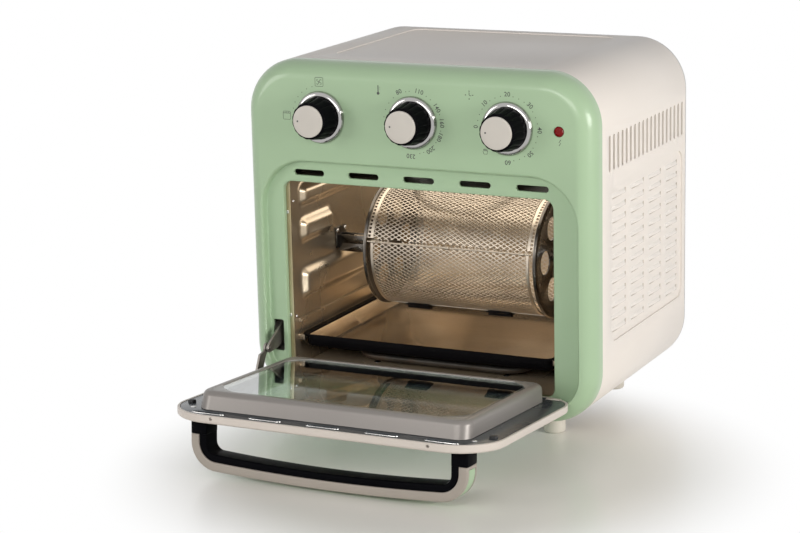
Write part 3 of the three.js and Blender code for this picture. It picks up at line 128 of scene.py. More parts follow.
class Form:
    """Points and faces in millimetres, gathered before they become one piece."""

    def __init__(self):
        self.points = []
        self.faces = []

    def skin(self, rings, caps=True, loop=False, closed=True):
        """Faces between rings of equal length. A loop joins the last ring to the first."""
        base = len(self.points)
        n = len(rings[0])
        for ring in rings:
            self.points.extend(ring)
        count = len(rings)
        for k in range(count if loop else count - 1):
            a, b = base + k * n, base + ((k + 1) % count) * n
            for i in range(n if closed else n - 1):
                j = (i + 1) % n
                self.faces.append((a + i, a + j, b + j, b + i))
        if caps and not loop:
            self.faces.append(tuple(base + i for i in reversed(range(n))))
            self.faces.append(tuple(base + (count - 1) * n + i for i in range(n)))
        return self

    def prism(self, outline, low, high, view):
        """A straight bar: the outline at two depths of a view."""
        return self.skin([[view(u, v, d) for u, v in outline] for d in (low, high)])

    def block(self, x, y, z):
        """A block between two values on each axis."""
        outline = [(x[0], y[0]), (x[1], y[0]), (x[1], y[1]), (x[0], y[1])]
        return self.prism(outline, z[0], z[1], as_given)

    def turned(self, profile, steps, view, loop=False):
        """A profile of radius and depth turned about an axis; its ends on the axis are closed."""
        rings = []
        for r, d in profile:
            r = max(r, AXIS_RADIUS)
            rings.append([view(r * cos(a), r * sin(a), d) for a in angles(steps)])
        return self.skin(rings, loop=loop)

    def tube(self, path, radius, sides):
        """A round bar along points."""
        path = [Vector(p) for p in path]
        across = (path[1] - path[0]).normalized().orthogonal().normalized()
        rings = []
        for i, p in enumerate(path):
            along = (path[min(i + 1, len(path) - 1)] - path[max(i - 1, 0)]).normalized()
            across = (across - along * across.dot(along)).normalized()
            rings.append(round_ring(p, across, along.cross(across), radius, sides))
        return self.skin(rings)

    def mesh(self, name, place):
        data = bpy.data.meshes.new(name)
        data.from_pydata([place(*p) for p in self.points], [], self.faces)
        data.validate()
        shape = bmesh.new()
        shape.from_mesh(data)
        bmesh.ops.remove_doubles(shape, verts=shape.verts, dist=1e-7)
        bmesh.ops.recalc_face_normals(shape, faces=shape.faces)
        shape.to_mesh(data)
        shape.free()
        return data


def angles(steps):
    return [2 * pi * i / steps for i in range(steps)]


def quarter(steps, start=0):
    return [pi / 2 * i / steps for i in range(start, steps + 1)]


def round_ring(middle, across, other, r, sides):
    return [tuple(middle + across * (r * cos(a)) + other * (r * sin(a))) for a in angles(sides)]


def front_view(x, z, y):
    return (x, y, z)


def side_view(y, z, x):
    return (x, y, z)


def as_given(a, b, c):
    """The view from above, and the one across the door in its own frame."""
    return (a, b, c)


def upright(outline, y):
    return [(x, y, z) for x, z in outline]


def level(outline, z):
    return [(x, y, z) for x, y in outline]


def eased(value, low, high):
    t = min(1, max(0, (value - low) / (high - low)))
    return t * t * (3 - 2 * t)


def added(name, data):
    """A new object in the scene."""
    new = bpy.data.objects.new(name, data)
    bpy.context.scene.collection.objects.link(new)
    return new


def evaluated(new):
    """Gives an object its modifiers' result as its mesh."""
    bpy.context.view_layer.update()
    graph = bpy.context.evaluated_depsgraph_get()
    data = bpy.data.meshes.new_from_object(new.evaluated_get(graph))
    new.modifiers.clear()
    new.data = data


def cut(new, operation, form, place):
    """Cuts a form from an object, or joins it."""
    tool = added(f"{new.name}_cut", form.mesh(f"{new.name}_cut", place))
    boolean = new.modifiers.new("cut", "BOOLEAN")
    boolean.operation = operation
    boolean.solver = "EXACT"
    boolean.object = tool
    evaluated(new)
    bpy.data.objects.remove(tool)


def piece(name, form, body, slot, finish, place=at, cuts=(), edge=0, edge_angle=40, smooth=38, stands_for=()):
    """One piece: its form, the forms cut from it or joined to it, a rounded edge, its body and its finish."""
    new = added(name, form.mesh(name, place))
    for change in cuts:
        operation, other = change if isinstance(change, tuple) else ("DIFFERENCE", change)
        cut(new, operation, other, place)
    if edge:
        bevel = new.modifiers.new("edge", "BEVEL")
        bevel.width = edge * MM
        bevel.segments = 2
        bevel.limit_method = "ANGLE"
        bevel.angle_limit = radians(edge_angle)
        bevel.use_clamp_overlap = True
        evaluated(new)
    data = new.data
    data.polygons.foreach_set("use_smooth", [True] * len(data.polygons))
    data.set_sharp_from_angle(angle=radians(smooth))
    data.materials.clear()
    data.materials.append(finish)
    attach(new, body)
    if stands_for:
        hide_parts(*stands_for)
    return new


def coat_nodes(finish, *names):
    """Gives nodes that are carried over their material."""
    for name in names:
        nodes[name].data.materials.clear()
        nodes[name].data.materials.append(finish)


# Materials

def set_inputs(node, values):
    for name, value in values.items():
        node.inputs[name].default_value = value


def spread(tree, source, low, high, source_low=0.22, source_high=0.78):
    """A soft step from one range of values to another."""
    ranged = tree.nodes.new("ShaderNodeMapRange")
    ranged.interpolation_type = "SMOOTHSTEP"
    set_inputs(ranged, {"From Min": source_low, "From Max": source_high, "To Min": low, "To Max": high})
    tree.links.new(source, ranged.inputs["Value"])
    return ranged.outputs["Result"]


def combined(tree, operation, first, second):
    """The result of a maths node over two sources."""
    made = tree.nodes.new("ShaderNodeMath")
    made.operation = operation
    tree.links.new(first, made.inputs[0])
    tree.links.new(second, made.inputs[1])
    return made.outputs[0]


def looked_at(tree):
    """1 for what the camera sees, also in a reflection or through a pane, else 0."""
    rays = tree.nodes.new("ShaderNodeLightPath").outputs
    direct = combined(tree, "MAXIMUM", rays["Is Camera Ray"], rays["Is Glossy Ray"])
    return combined(tree, "MAXIMUM", direct, rays["Is Transmission Ray"])


def mix_surface(tree, share, first, second):
    """Makes the surface a mix of two shaders."""
    mixed = tree.nodes.new("ShaderNodeMixShader")
    for source, socket in zip((share, first, second), mixed.inputs):
        tree.links.new(source, socket)
    tree.links.new(mixed.outputs[0], tree.nodes["Material Output"].inputs["Surface"])


def material(
    name, colour, rough, metal=0.0, coat=0.0, specular=0.5, blotch=(14, 0.05), grain=(900, 0.04),
    bump=(900, 0.04), rough_spread=0.05, warm=None,
):
    """A finish that varies in colour, gloss and surface. Blotch, grain and bump: a scale and a strength."""
    made = bpy.data.materials.new(name)
    made.use_nodes = True
    tree = made.node_tree
    link = tree.links.new
    shader = tree.nodes["Principled BSDF"]
    set_inputs(shader, {"Metallic": metal, "Coat Weight": coat, "Coat Roughness": 0.06})
    shader.inputs["Specular IOR Level"].default_value = specular
    place = tree.nodes.new("ShaderNodeTexCoord")

    def noise(scale, detail):
        texture = tree.nodes.new("ShaderNodeTexNoise")
        set_inputs(texture, {"Scale": scale, "Detail": detail})
        link(place.outputs["Object"], texture.inputs["Vector"])
        return texture.outputs["Fac"]

    slow = noise(blotch[0], 2.0)
    slow_shade = spread(tree, slow, 1 - blotch[1], 1 + blotch[1])
    fine_shade = spread(tree, noise(grain[0], 3.0), 1 - grain[1], 1 + grain[1])
    tint = tree.nodes.new("ShaderNodeHueSaturation")
    tint.inputs["Color"].default_value = (*colour, 1)
    link(combined(tree, "MULTIPLY", slow_shade, fine_shade), tint.inputs["Value"])
    if warm:
        mixed = tree.nodes.new("ShaderNodeMix")
        mixed.data_type = "RGBA"
        mixed.inputs[6].default_value = (*colour, 1)
        mixed.inputs[7].default_value = (*warm, 1)
        link(spread(tree, noise(blotch[0] * 0.7, 2.0), 0, 1, 0.42, 0.62), mixed.inputs[0])
        link(mixed.outputs[2], tint.inputs["Color"])
    link(tint.outputs["Color"], shader.inputs["Base Color"])
    link(spread(tree, slow, rough - rough_spread, rough + rough_spread), shader.inputs["Roughness"])
    if bump[1]:
        raised = tree.nodes.new("ShaderNodeBump")
        set_inputs(raised, {"Strength": bump[1], "Distance": 0.0005})
        link(noise(bump[0], 3.0), raised.inputs["Height"])
        link(raised.outputs["Normal"], shader.inputs["Normal"])
    return made


def glass(name, colour):
    """Clear toughened glass that lets lamp light through."""
    made = material(name, colour, 0.006, rough_spread=0.003, blotch=(8, 0.02), grain=(60, 0.01), bump=(6, 0))
    tree = made.node_tree
    shader = tree.nodes["Principled BSDF"]
    set_inputs(shader, {"Transmission Weight": 1.0, "IOR": 1.7})
    set_inputs(shader, {"Coat Weight": 0.2, "Coat Roughness": 0.0, "Coat IOR": 1.8})
    clear = tree.nodes.new("ShaderNodeBsdfTransparent")
    clear.inputs["Color"].default_value = (0.86, 0.92, 0.90, 1)
    shadow = tree.nodes.new("ShaderNodeLightPath").outputs["Is Shadow Ray"]
    mix_surface(tree, shadow, shader.outputs[0], clear.outputs[0])
    return made


CREAM = (0.80, 0.745, 0.695)
NEAR_BLACK = (0.003, 0.003, 0.004)
mint = material(
    "mint_plastic", (0.365, 0.505, 0.325), 0.3, coat=0.25, specular=0.35, blotch=(9, 0.02),
    grain=(2200, 0.012), bump=(1600, 0.02), rough_spread=0.012,
)
cream = material(
    "cream_coat", CREAM, 0.38, specular=0.18, blotch=(8, 0.02), grain=(2500, 0.015), bump=(1300, 0.05)
)
cream_gloss = material(
    "louvre_coat", CREAM, 0.24, coat=0.35, specular=0.4, blotch=(8, 0.02), grain=(2500, 0.015),
    bump=(1300, 0.03),
)
door_cream = material(
    "door_coat", (0.62, 0.56, 0.51), 0.36, specular=0.4, blotch=(20, 0.02), grain=(3000, 0.01),
    bump=(2000, 0.03),
)
cream_plastic = material(
    "cream_plastic", (0.36, 0.32, 0.28), 0.34, specular=0.35, blotch=(20, 0.02), grain=(3000, 0.01),
    bump=(2000, 0.03),
)
shield_coat = material("shield_coat", (0.40, 0.35, 0.29), 0.55, blotch=(20, 0.03), bump=(900, 0.05))
foot_plastic = material("foot_plastic", (0.66, 0.62, 0.55), 0.5, grain=(2600, 0.03), bump=(1500, 0.12))
zinc = material(
    "zinc_sheet", (0.56, 0.57, 0.58), 0.38, metal=0.75, blotch=(60, 0.05), grain=(700, 0.06),
    bump=(600, 0.05), rough_spread=0.03,
)
bronze = material(
    "cavity_coat", (0.46, 0.385, 0.29), 0.29, metal=0.85, warm=(0.43, 0.345, 0.245), blotch=(11, 0.08),
    grain=(1500, 0.04), bump=(700, 0.03),
)
# The cavity coat again, paler and less metallic for the floor: painted light where the floor lies in the
# tray's shade
floor_bronze_painted_light = material(
    "cavity_floor_painted_light_coat", (0.76, 0.60, 0.42), 0.30, metal=0.5, warm=(0.66, 0.49, 0.31), blotch=(14, 0.08),
    grain=(1500, 0.04), bump=(700, 0.03),
)
bronze_strip = material(
    "flange_coat", (0.49, 0.47, 0.30), 0.32, metal=0.6, warm=(0.42, 0.34, 0.2), blotch=(20, 0.1),
    bump=(500, 0.04),
)
heater = material(
    "heater_tube", (0.075, 0.068, 0.06), 0.5, metal=0.7, warm=(0.10, 0.07, 0.05), blotch=(40, 0.25),
    bump=(900, 0.1),
)
wire = material("plated_wire", (0.45, 0.39, 0.32), 0.36, metal=1.0, blotch=(50, 0.12), grain=(900, 0.06))
dark_plate = material("basket_plate", (0.10, 0.09, 0.08), 0.26, metal=1.0, blotch=(30, 0.2), bump=(500, 0.04))
enamel = material(
    "black_enamel", (0.005, 0.0045, 0.005), 0.24, specular=0.02, blotch=(12, 0.3), bump=(420, 0.03),
    rough_spread=0.04,
)
tray_coat = material(
    "tray_lining", (0.70, 0.58, 0.44), 0.13, metal=0.92, warm=(0.58, 0.45, 0.31), blotch=(16, 0.12),
    grain=(600, 0.08), bump=(300, 0.04), rough_spread=0.04,
)
chrome = material(
    "bright_plate", (0.42, 0.41, 0.40), 0.07, metal=1.0, blotch=(60, 0.02), grain=(2000, 0.02),
    bump=(800, 0.01), rough_spread=0.02,
)
dial_black = material("dial_black", NEAR_BLACK, 0.3, specular=0.02, grain=(3000, 0.1), bump=(2000, 0.04))
dial_cream = material(
    "dial_cream", (0.565, 0.53, 0.485), 0.32, specular=0.35, blotch=(60, 0.015), grain=(3500, 0.01),
    bump=(2500, 0.02),
)
black = material(
    "black_plastic", (0.008, 0.008, 0.009), 0.42, specular=0.25, grain=(2500, 0.15), bump=(1500, 0.08)
)
print_ink = material("dial_print", (0.055, 0.06, 0.055), 0.5, grain=(4000, 0.1), bump=(2500, 0.02))
slate = material(
    "liner_coat", (0.062, 0.07, 0.078), 0.24, metal=0.4, specular=0.4, blotch=(10, 0.08), grain=(1600, 0.04),
    bump=(900, 0.02),
)
pewter = material(
    "frame_coat", (0.23, 0.211, 0.197), 0.36, metal=0.3, specular=0.4, blotch=(10, 0.04), grain=(1800, 0.03),
    bump=(900, 0.03),
)
clip_finish = material("clip_coat", (0.26, 0.25, 0.235), 0.36, metal=0.3, blotch=(40, 0.05), bump=(900, 0.05))
bright_steel = material(
    "bright_steel", (0.60, 0.59, 0.58), 0.22, metal=1.0, blotch=(80, 0.08), grain=(1500, 0.05)
)
lever_steel = material("lever_steel", (0.24, 0.22, 0.20), 0.4, metal=0.8, blotch=(60, 0.15), bump=(700, 0.05))
gloss_black = material("handle_black", NEAR_BLACK, 0.32, specular=0.015, blotch=(30, 0.15), bump=(1800, 0.03))
outer_pane = glass("outer_glass", (0.62, 0.68, 0.65))
inner_pane = glass("inner_glass", (0.90, 0.95, 0.93))
lens = material("lamp_lens", (0.22, 0.003, 0.003), 0.12, specular=0.15, blotch=(200, 0.2), bump=(500, 0.03))
lens.node_tree.nodes["Principled BSDF"].inputs["Transmission Weight"].default_value = 0.2


# Front panel: a rounded shell, walls for its recess and opening, and what is cut in them

def body_ring(inset, y):
    half, low, high = BODY_HALF - inset, BODY_LOW + inset, BODY_HIGH - inset
    return upright(rounded(-half, half, low, high, BODY_CORNER - inset, CORNER_STEPS), y)


def recess_ring(grow, y):
    half, sill, head = 154.8 + grow, 29 + grow, 44.5 + grow
    return upright(rounded(-half, half, 37.9 - grow, 244.8 + grow, (sill, sill, head, head), CORNER_STEPS), y)


def opening_ring(grow, y):
    return upright(rounded(-137 - grow, 129.5 + grow, 44.4 - grow, 224.2 + grow, 9 + grow, CORNER_STEPS), y)


def vent_ring(x):
    """The rings of the slot at this x."""

    def ring(grow, y):
        half = VENT_HALF + grow
        return upright(rounded(x - half, x + half, 230.5 - grow, 235.8 + grow, 2.65 + grow, 6), y)

    return ring


def shell_rings(wall, rear):
    """Rings of the body's rounded front, set in from its face by the wall."""
    rings = [body_ring(wall, rear), body_ring(wall, 18.3 + wall)]
    rings += [body_ring(wall + 16 * (1 - cos(a)), wall + 18 * (1 - sin(a))) for a in quarter(12)]
    return rings


def cutter(ring, low, high, round_by):
    """Rings of a cut that leaves a round edge in the face at low."""
    rings = [ring(round_by, low - 2), ring(round_by, low)]
    rings += [ring(round_by * (1 - sin(a)), low + round_by * (1 - cos(a))) for a in quarter(5, 1)]
    return rings + [ring(0, high)]


RECESS_FACE = 9.4
BEHIND_PANEL = 16
recess_cut = cutter(recess_ring, 0, 8.2, 3.2)
recess_cut += [recess_ring(-1.2 * (1 - cos(a)), 8.2 + 1.2 * sin(a)) for a in quarter(3, 1)]
slots = Form()
for x in VENTS:
    slots.skin(cutter(vent_ring(x), RECESS_FACE, BEHIND_PANEL, 0.8))
slots.prism(rounded(-152, -141.2, 61.9, 91.9, 2, 4), 6, BEHIND_PANEL, front_view)
for x in (-DIAL_X, 0, DIAL_X):
    slots.prism(circle(3.6, 24, (x, DIAL_Z)), -3, 6, front_view)
slots.prism(circle(4.8, 24, (LAMP_X, LAMP_Z)), -3, 6, front_view)
panel_changes = [
    Form().skin(shell_rings(2.6, 26)),
    ("UNION", Form().skin([recess_ring(2.6, 1.6), recess_ring(2.6, 12)])),
    ("UNION", Form().skin([opening_ring(1.5, 9.8), opening_ring(1.5, 14.3)])),
    Form().skin(recess_cut),
    Form().skin(cutter(opening_ring, RECESS_FACE, BEHIND_PANEL, 1.2)),
    slots,
]
panel = Form().skin(shell_rings(0, FASCIA_REAR))
piece(
    "front_panel_shell", panel, "housing", "fascia_green", mint, cuts=panel_changes,
    stands_for=["front_panel"],
)

# Casing with its pressed panels, vent slots and lanced louvres

PRESSED = 1.9
SIDE_SLOTS = 19
SIDE_SLOT_PITCH = 10.6
LOUVRE_COLUMNS = ((49, 84), (97, 131), (144.5, 177), (191, 222))
LOUVRE_ROWS = 12
LOUVRE_PITCH = 11
LOUVRE_REACH = 1.8


def louvre_slit(front, rear, z):
    """The opening under a louvre, hooked up past its rear end: partly the louvre's open end, partly a painted
    shadow of the hood, shown by the darker sheet behind.
    """
    lower = [(front + 4, z - 0.3), (rear + 0.5, z - 0.3), (rear + 2.6, z + 1.8), (rear + 3, z + 4.8)]
    return lower + [(rear - 0.4, z + 4.8), (rear - 0.8, z + 0.85), (front + 4, z + 0.85)]


def louvre_arcs(side, front, rear, z):
    """Sections of a louvre's hood from its low front end to its steep rear end."""
    out = (BODY_HALF - PRESSED) * side
    arcs = []
    for share in (0, 0.1, 0.2, 0.3, 0.4, 0.5, 0.65, 0.8, 0.9, 0.93, 0.96, 1):
        reach = LOUVRE_REACH * eased(share, -0.1, 0.75) * (1.0 - 0.9 * eased(share, 0.93, 1.0))
        y = front + (rear - front) * share
        section = ((-0.5, 4.6), (0, 4.4), (reach * 0.4, 3.3), (reach * 0.85, 1.9))
        section += ((reach, 1.2), (reach - 0.35, 0.7), (-0.5, 1.2))
        arcs.append([(out + side * proud, y, z + up) for proud, up in section])
    return arcs


casing_rings = ((0.35, 23.7), (0, 24.1), (0, 243), (2.4, 243), (2.4, 23.7))
casing = Form().skin([body_ring(inset, y) for inset, y in casing_rings], loop=True)
dishes, slits, hoods = Form(), Form(), Form()
for side in (-1, 1):
    face = BODY_HALF * side
    near, far = sorted((face - side * PRESSED, face + side * 3))
    dishes.prism(rounded(44, 235, 90.5, 232.5, 12, 8), near, far, side_view)
    near, far = sorted((face - side * 3.2, face + side * 3))
    for i in range(SIDE_SLOTS):
        y = 41.9 + i * SIDE_SLOT_PITCH
        slits.prism(rounded(y - 2.3, y + 2.3, 246, 278, 2.2, 6), near, far, side_view)
    for front, rear in LOUVRE_COLUMNS:
        for row in range(LOUVRE_ROWS):
            z = 219.5 - row * LOUVRE_PITCH
            slits.prism(louvre_slit(front, rear, z), near, far, side_view)
            hoods.skin(louvre_arcs(side, front, rear, z))
dishes.prism(rounded(-105, 105, 53, 232, 12, 8), BODY_HIGH - 1.0, BODY_HIGH + 3, as_given)
slits.prism(rounded(-98, 98, 36, 231, 8, 4), BODY_LOW - 3, BODY_LOW + 4, as_given)
piece(
    "casing_shell", casing, "housing", "casing_cream", cream, cuts=[dishes, slits], edge=0.45,
    stands_for=["outer_casing"],
)
piece("casing_louvres", hoods, "housing", "casing_cream", cream_gloss, smooth=50)
for name, side in SIDES:
    shield = [
        [(side * x, y, z) for y, z in rounded(30 + inset, 242 - inset, 80 + inset, 285 - inset, 6, 3)]
        for inset, x in ((0, 167.7), (3.5, 164.4), (3.5, 163.9), (0, 167.2))
    ]
    piece(f"side_shield_{name}", Form().skin(shield), "housing", "casing_cream", shield_coat, smooth=30)


# Rear cover with a pressed field and its slots

def rear_field(inset, y):
    return upright(rounded(-138 + inset, 138 - inset, 84 + inset, 312 - inset, 20 - inset, CORNER_STEPS), y)


rear = [body_ring(0, 243.3), body_ring(0, 244.1), body_ring(0.4, REAR_FACE), rear_field(0, REAR_FACE)]
rear += [rear_field(0.8, 244.7), rear_field(2.2, 245.3), rear_field(3, 245.4)]
rear_cuts = Form()
for i in range(10):
    x = (i - 4.5) * 12
    rear_cuts.prism(rounded(x - 2, x + 2, 262, 300, 1.9, 5), 242, 247, front_view)
rear_cuts.prism(circle(6.1, 32, (110, 65)), 242, 247, front_view)
piece(
    "rear_cover", Form().skin(rear), "housing", "pin_steel", zinc, cuts=[rear_cuts], stands_for=["rear_panel"]
)

# Feet, each with a soft lower edge and a ring moulded round it

FOOT_X = 111.5
FOOT_ENDS = (("front", 54), ("rear", 206))
feet = [(f"{end}_{side}", sign * FOOT_X, y) for end, y in FOOT_ENDS for side, sign in SIDES]
for name, x, y in feet:
    profile = [(0, 0.0), (7.6, 0.0)]
    profile += [(7.6 + 2.4 * sin(a), 2.4 * (1 - cos(a))) for a in quarter(5, 1)]
    profile += [(10.0, 12), (10.2, 12.6), (10.2, 21.2), (0, 21.2)]
    foot = Form().turned(profile, 40, lambda u, v, d, x=x, y=y: (x + u, y + v, d))
    piece(f"foot_{name}_moulding", foot, "housing", "foot_cream", foot_plastic, stands_for=[f"foot_{name}"])

# Cooking cavity

FLANGE_EDGES = (-140.8, 134.4, 41.5, 229.2)
WALL_EDGES = (WALL_LEFT, WALL_RIGHT, FLOOR_TOP, 227.5)
FLANGE_FACE = 14.7
flange_rings = (
    (FLANGE_EDGES, 15.0), (FLANGE_EDGES, 15.7), (WALL_EDGES, 15.7), (WALL_EDGES, FLANGE_FACE),
    ((-140.6, 134.2, 41.7, 229.0), FLANGE_FACE),
)
flange = Form().skin([upright(rounded(*edges, 6, 8), y) for edges, y in flange_rings], loop=True)
piece("cavity_flange_sheet", flange, "housing", "cavity_bronze", bronze_strip, stands_for=["cavity_flange"])


def pillow(y, z, front, rear, low, high, taper=8.5):
    """How far a pressed rib stands out, as a share: its corners are round."""
    half_y, half_z = (rear - front) / 2, (high - low) / 2
    dy = abs(y - (front + rear) / 2) - (half_y - taper - 3)
    dz = abs(z - (low + high) / 2) - (half_z - taper)
    outside = hypot(max(dy, 0), max(dz, 0))
    return 1 - eased(outside, 0, taper)


def spaced(marks, step):
    """Values from the first mark to the last, with every mark among them."""
    values = []
    for low, high in zip(marks, marks[1:]):
        count = max(1, round((high - low) / step))
        values += [low + (high - low) * i / count for i in range(count)]
    return values + [marks[-1]]


RIBS = ((26, 200, 194, 218), (26, 98, 160, 186), (26, 200, 106, 138))
RIB_RISE = 6.0
TRAY_LEDGE = (70.2, 75.05, 5.5)
UPPER_LEDGE = (87.1, 90.4, 3)


def wall_rise(y, z):
    """How far the side wall stands out into the cavity."""
    rise = RIB_RISE * max(pillow(y, z, *rib) for rib in RIBS)
    for low, high, ledge_rise in (TRAY_LEDGE, UPPER_LEDGE):
        if 24 <= y <= 212 and low <= z <= high:
            rise = ledge_rise
    return rise


def side_wall(side):
    face = WALL_LEFT if side > 0 else WALL_RIGHT
    ys = spaced([16, 23.9, 24.1, 30, 98, 200, 211.9, 212.1, 222], 2.2)
    heights = [45.7, 69.9, 70.4, 74.9, 75.15, 86.9, 87.3, 90.2, 90.55, 106, 138, 160, 186, 194, 218, 227.2]
    zs = spaced(heights, 1.9)
    form = Form()
    form.skin([[(face + side * wall_rise(y, z), y, z) for y in ys] for z in zs], caps=False, closed=False)
    form.skin([[(face - side, y, z) for y in ys] for z in zs], caps=False, closed=False)
    return form


for name, side in (("left", 1), ("right", -1)):
    piece(
        f"cavity_{name}_sheet", side_wall(side), "housing", "cavity_bronze", bronze, smooth=50,
        stands_for=[f"cavity_{name}_wall"],
    )


# Screws and rivets

def dome(form, middle, out, radius, rise, sides=14):
    """A round head on a face, towards out."""
    middle, out = Vector(middle), Vector(out)
    across = out.orthogonal().normalized()
    rings = []
    for share in (0, 0.35, 0.7, 0.92, 1):
        r = radius * sqrt(max(0, 1 - share * share)) + 0.01
        rings.append(round_ring(middle + out * (rise * share - 0.05), across, out.cross(across), r, sides))
    form.skin(rings)


SLOT_HALF_WIDTH = 0.35
SLOT_HALF_LENGTH = 2
SLOT_DEPTHS = (245.2, 247)
rear_screws, flat_slots, upright_slots = Form(), Form(), Form()
COVER_SCREWS = ((158, 100), (158, 250), (80, 326), (80, 31.5))
for x, z in [(sign * x, z) for x, z in COVER_SCREWS for sign in (-1, 1)]:
    dome(rear_screws, (x, REAR_FACE, z), (0, 1, 0), 3.1, 1.5, 20)
    for form, half_x, half_z in (
        (flat_slots, SLOT_HALF_LENGTH, SLOT_HALF_WIDTH), (upright_slots, SLOT_HALF_WIDTH, SLOT_HALF_LENGTH)
    ):
        form.block((x - half_x, x + half_x), SLOT_DEPTHS, (z - half_z, z + half_z))
piece("rear_cover_screws", rear_screws, "housing", "pin_steel", lever_steel, cuts=[flat_slots, upright_slots])

rivets = Form()
for z in (203, 93.5):
    dome(rivets, (WALL_LEFT, 20.5, z), (1, 0, 0), 1.5, 0.9)
    dome(rivets, (WALL_RIGHT, 20.5, z), (-1, 0, 0), 1.5, 0.9)
for x in (-137, 131.2):
    for z in (193.5, 95.5):
        dome(rivets, (x, FLANGE_FACE, z), (0, -1, 0), 1.9, 0.25)
for x, y in ((62, 60), (-70, 60), (62, 190), (-70, 190)):
    dome(rivets, (x, y, FLOOR_TOP), (0, 0, 1), 3.2, 1.2)
piece("cavity_fasteners", rivets, "housing", "pin_steel", bright_steel)

coat_nodes(bronze, "cavity_back_wall", "cavity_ceiling", "fan_guard")
# The floor takes the paler copy of the cavity coat: painted light under the tray
coat_nodes(floor_bronze_painted_light, "cavity_floor")


# Heaters: bent round tubes

def arc(middle, radius, start, end, steps, z):
    """Points of a level arc between two angles."""
    turns = [start + (end - start) * i / steps for i in range(steps + 1)]
    return [(middle[0] + radius * cos(a), middle[1] + radius * sin(a), z) for a in turns]


HEATER_RADIUS = 3.25
HEATER_REAR = 235.3
UPPER_Z = 219
LOWER_Z = 53.4
loop_gap = asin(16 / 56.5)
upper = [(-18.5, y, UPPER_Z) for y in (HEATER_REAR, 186, 176)]
upper += arc((-2.5, 120), 50, pi / 2 + loop_gap, 5 * pi / 2 - loop_gap, 60, UPPER_Z)
upper += [(13.5, y, UPPER_Z) for y in (176, 186, HEATER_REAR)]
lower = [(-87.5, HEATER_REAR, LOWER_Z), (-87.5, 210, LOWER_Z)]
lower += arc((-63.5, 74), 24, pi, 3 * pi / 2, 14, LOWER_Z)
lower += arc((58.5, 74), 24, 3 * pi / 2, 2 * pi, 14, LOWER_Z)
lower += [(82.5, 210, LOWER_Z), (82.5, HEATER_REAR, LOWER_Z)]
for name, path in (("upper_heater", upper), ("lower_heater", lower)):
    tube = Form().tube(path, HEATER_RADIUS, 14)
    piece(f"{name}_tube", tube, "housing", "heater_steel", heater, stands_for=[name])

# Basket: expanded mesh drum, its door, end plates and pins

DRUM_OUTER = 56.9
DRUM_LEFT = -78.2
DRUM_RIGHT = 92.5
FLAP_LEFT = -72.2
FLAP_RIGHT = 86.5
BAND_INNER = 55.6
BAND_OUTER = 56.7
RIM_WIDTH = 8
STRANDS = 90
STRAND_STEP = 2.3
MESH_LENGTH = 6.6
WIRE_INSET = 7.6
STRAND_HALF_WIDTH = 0.32
STRAND_HALF_DEPTH = 0.3
HOLE_WIDTH = 2.4
HOLE_PITCH = 3.7
HOLE_HALF = 0.7
PIN_ANGLE = 12
PIN_PLACE = 58.4
LATCH_HALF = 11.5
LATCH_BANDS = ((-84.5, -68, 57.2, 59.0), (-80, -74.5, 58.8, 61.0), (-77.3, -73.1, 56.2, 57.6))


def around(x, angle, radius):
    """A point on the basket, its angle in degrees up from the front."""
    a = radians(angle)
    return (x, AXLE_Y - radius * cos(a), AXLE_Z + radius * sin(a))


def strand(form, path):
    """A flat narrow strand lying on the drum."""
    path = [Vector(p) for p in path]
    rings = []
    for i, p in enumerate(path):
        along = (path[min(i + 1, len(path) - 1)] - path[max(i - 1, 0)]).normalized()
        out = Vector((0, p.y - AXLE_Y, p.z - AXLE_Z)).normalized()
        across = along.cross(out).normalized()
        across, out = across * STRAND_HALF_WIDTH, out * STRAND_HALF_DEPTH
        rings.append([tuple(p + across * a + out * b) for a, b in ((-1, -1), (1, -1), (1, 1), (-1, 1))])
    form.skin(rings)


def mesh_wires(form, low, high, left, right):
    """Crossing strands on the drum between two angles and two ends."""
    pitch = 360 / STRANDS
    slope = pitch / MESH_LENGTH
    for turn in (-1, 1):
        for k in range(-STRANDS, 2 * STRANDS):
            path = []
            x = left
            while x <= right + 1e-6:
                angle = k * pitch + turn * slope * (x - left)
                if low <= angle <= high:
                    path.append(around(x, angle, DRUM_OUTER - 0.75 + 0.12 * turn))
                elif path:
                    break
                x += STRAND_STEP
            if len(path) > 2:
                strand(form, path)


def band(form, low, high, left, right, step=4, inner=BAND_INNER, outer=BAND_OUTER):
    """A curved strip on the drum."""
    count = max(2, round((high - low) / step))
    corners = ((left, inner), (right, inner), (right, outer), (left, outer))
    turns = [low + (high - low) * i / count for i in range(count + 1)]
    form.skin([[around(x, angle, radius) for x, radius in corners] for angle in turns])


def ladder(form, low, high, left, right):
    """A rim band with a row of small square holes."""
    solid = (right - left - HOLE_WIDTH) / 2
    band(form, low, high, left, left + solid)
    band(form, low, high, right - solid, right)
    count = round((high - low) / HOLE_PITCH)
    for i in range(count + 1):
        angle = low + (high - low) * i / count
        near, far = max(low, angle - HOLE_HALF), min(high, angle + HOLE_HALF)
        band(form, near, far, left + solid, right - solid, 1)


def basket_piece(name, form, body, finish=wire, **options):
    piece(name, form, body, "basket_steel", finish, **options)


drum = Form()
mesh_wires(drum, 14.2, 281.2, DRUM_LEFT + WIRE_INSET, DRUM_RIGHT - WIRE_INSET)
for left in (DRUM_LEFT, DRUM_RIGHT - RIM_WIDTH):
    ladder(drum, 15.6, 281.4, left, left + RIM_WIDTH)
band(drum, 280.5, 281.5, DRUM_LEFT + WIRE_INSET, DRUM_RIGHT - WIRE_INSET, 1)
basket_piece("basket_drum_mesh", drum, "basket", smooth=30, stands_for=["basket_drum"])

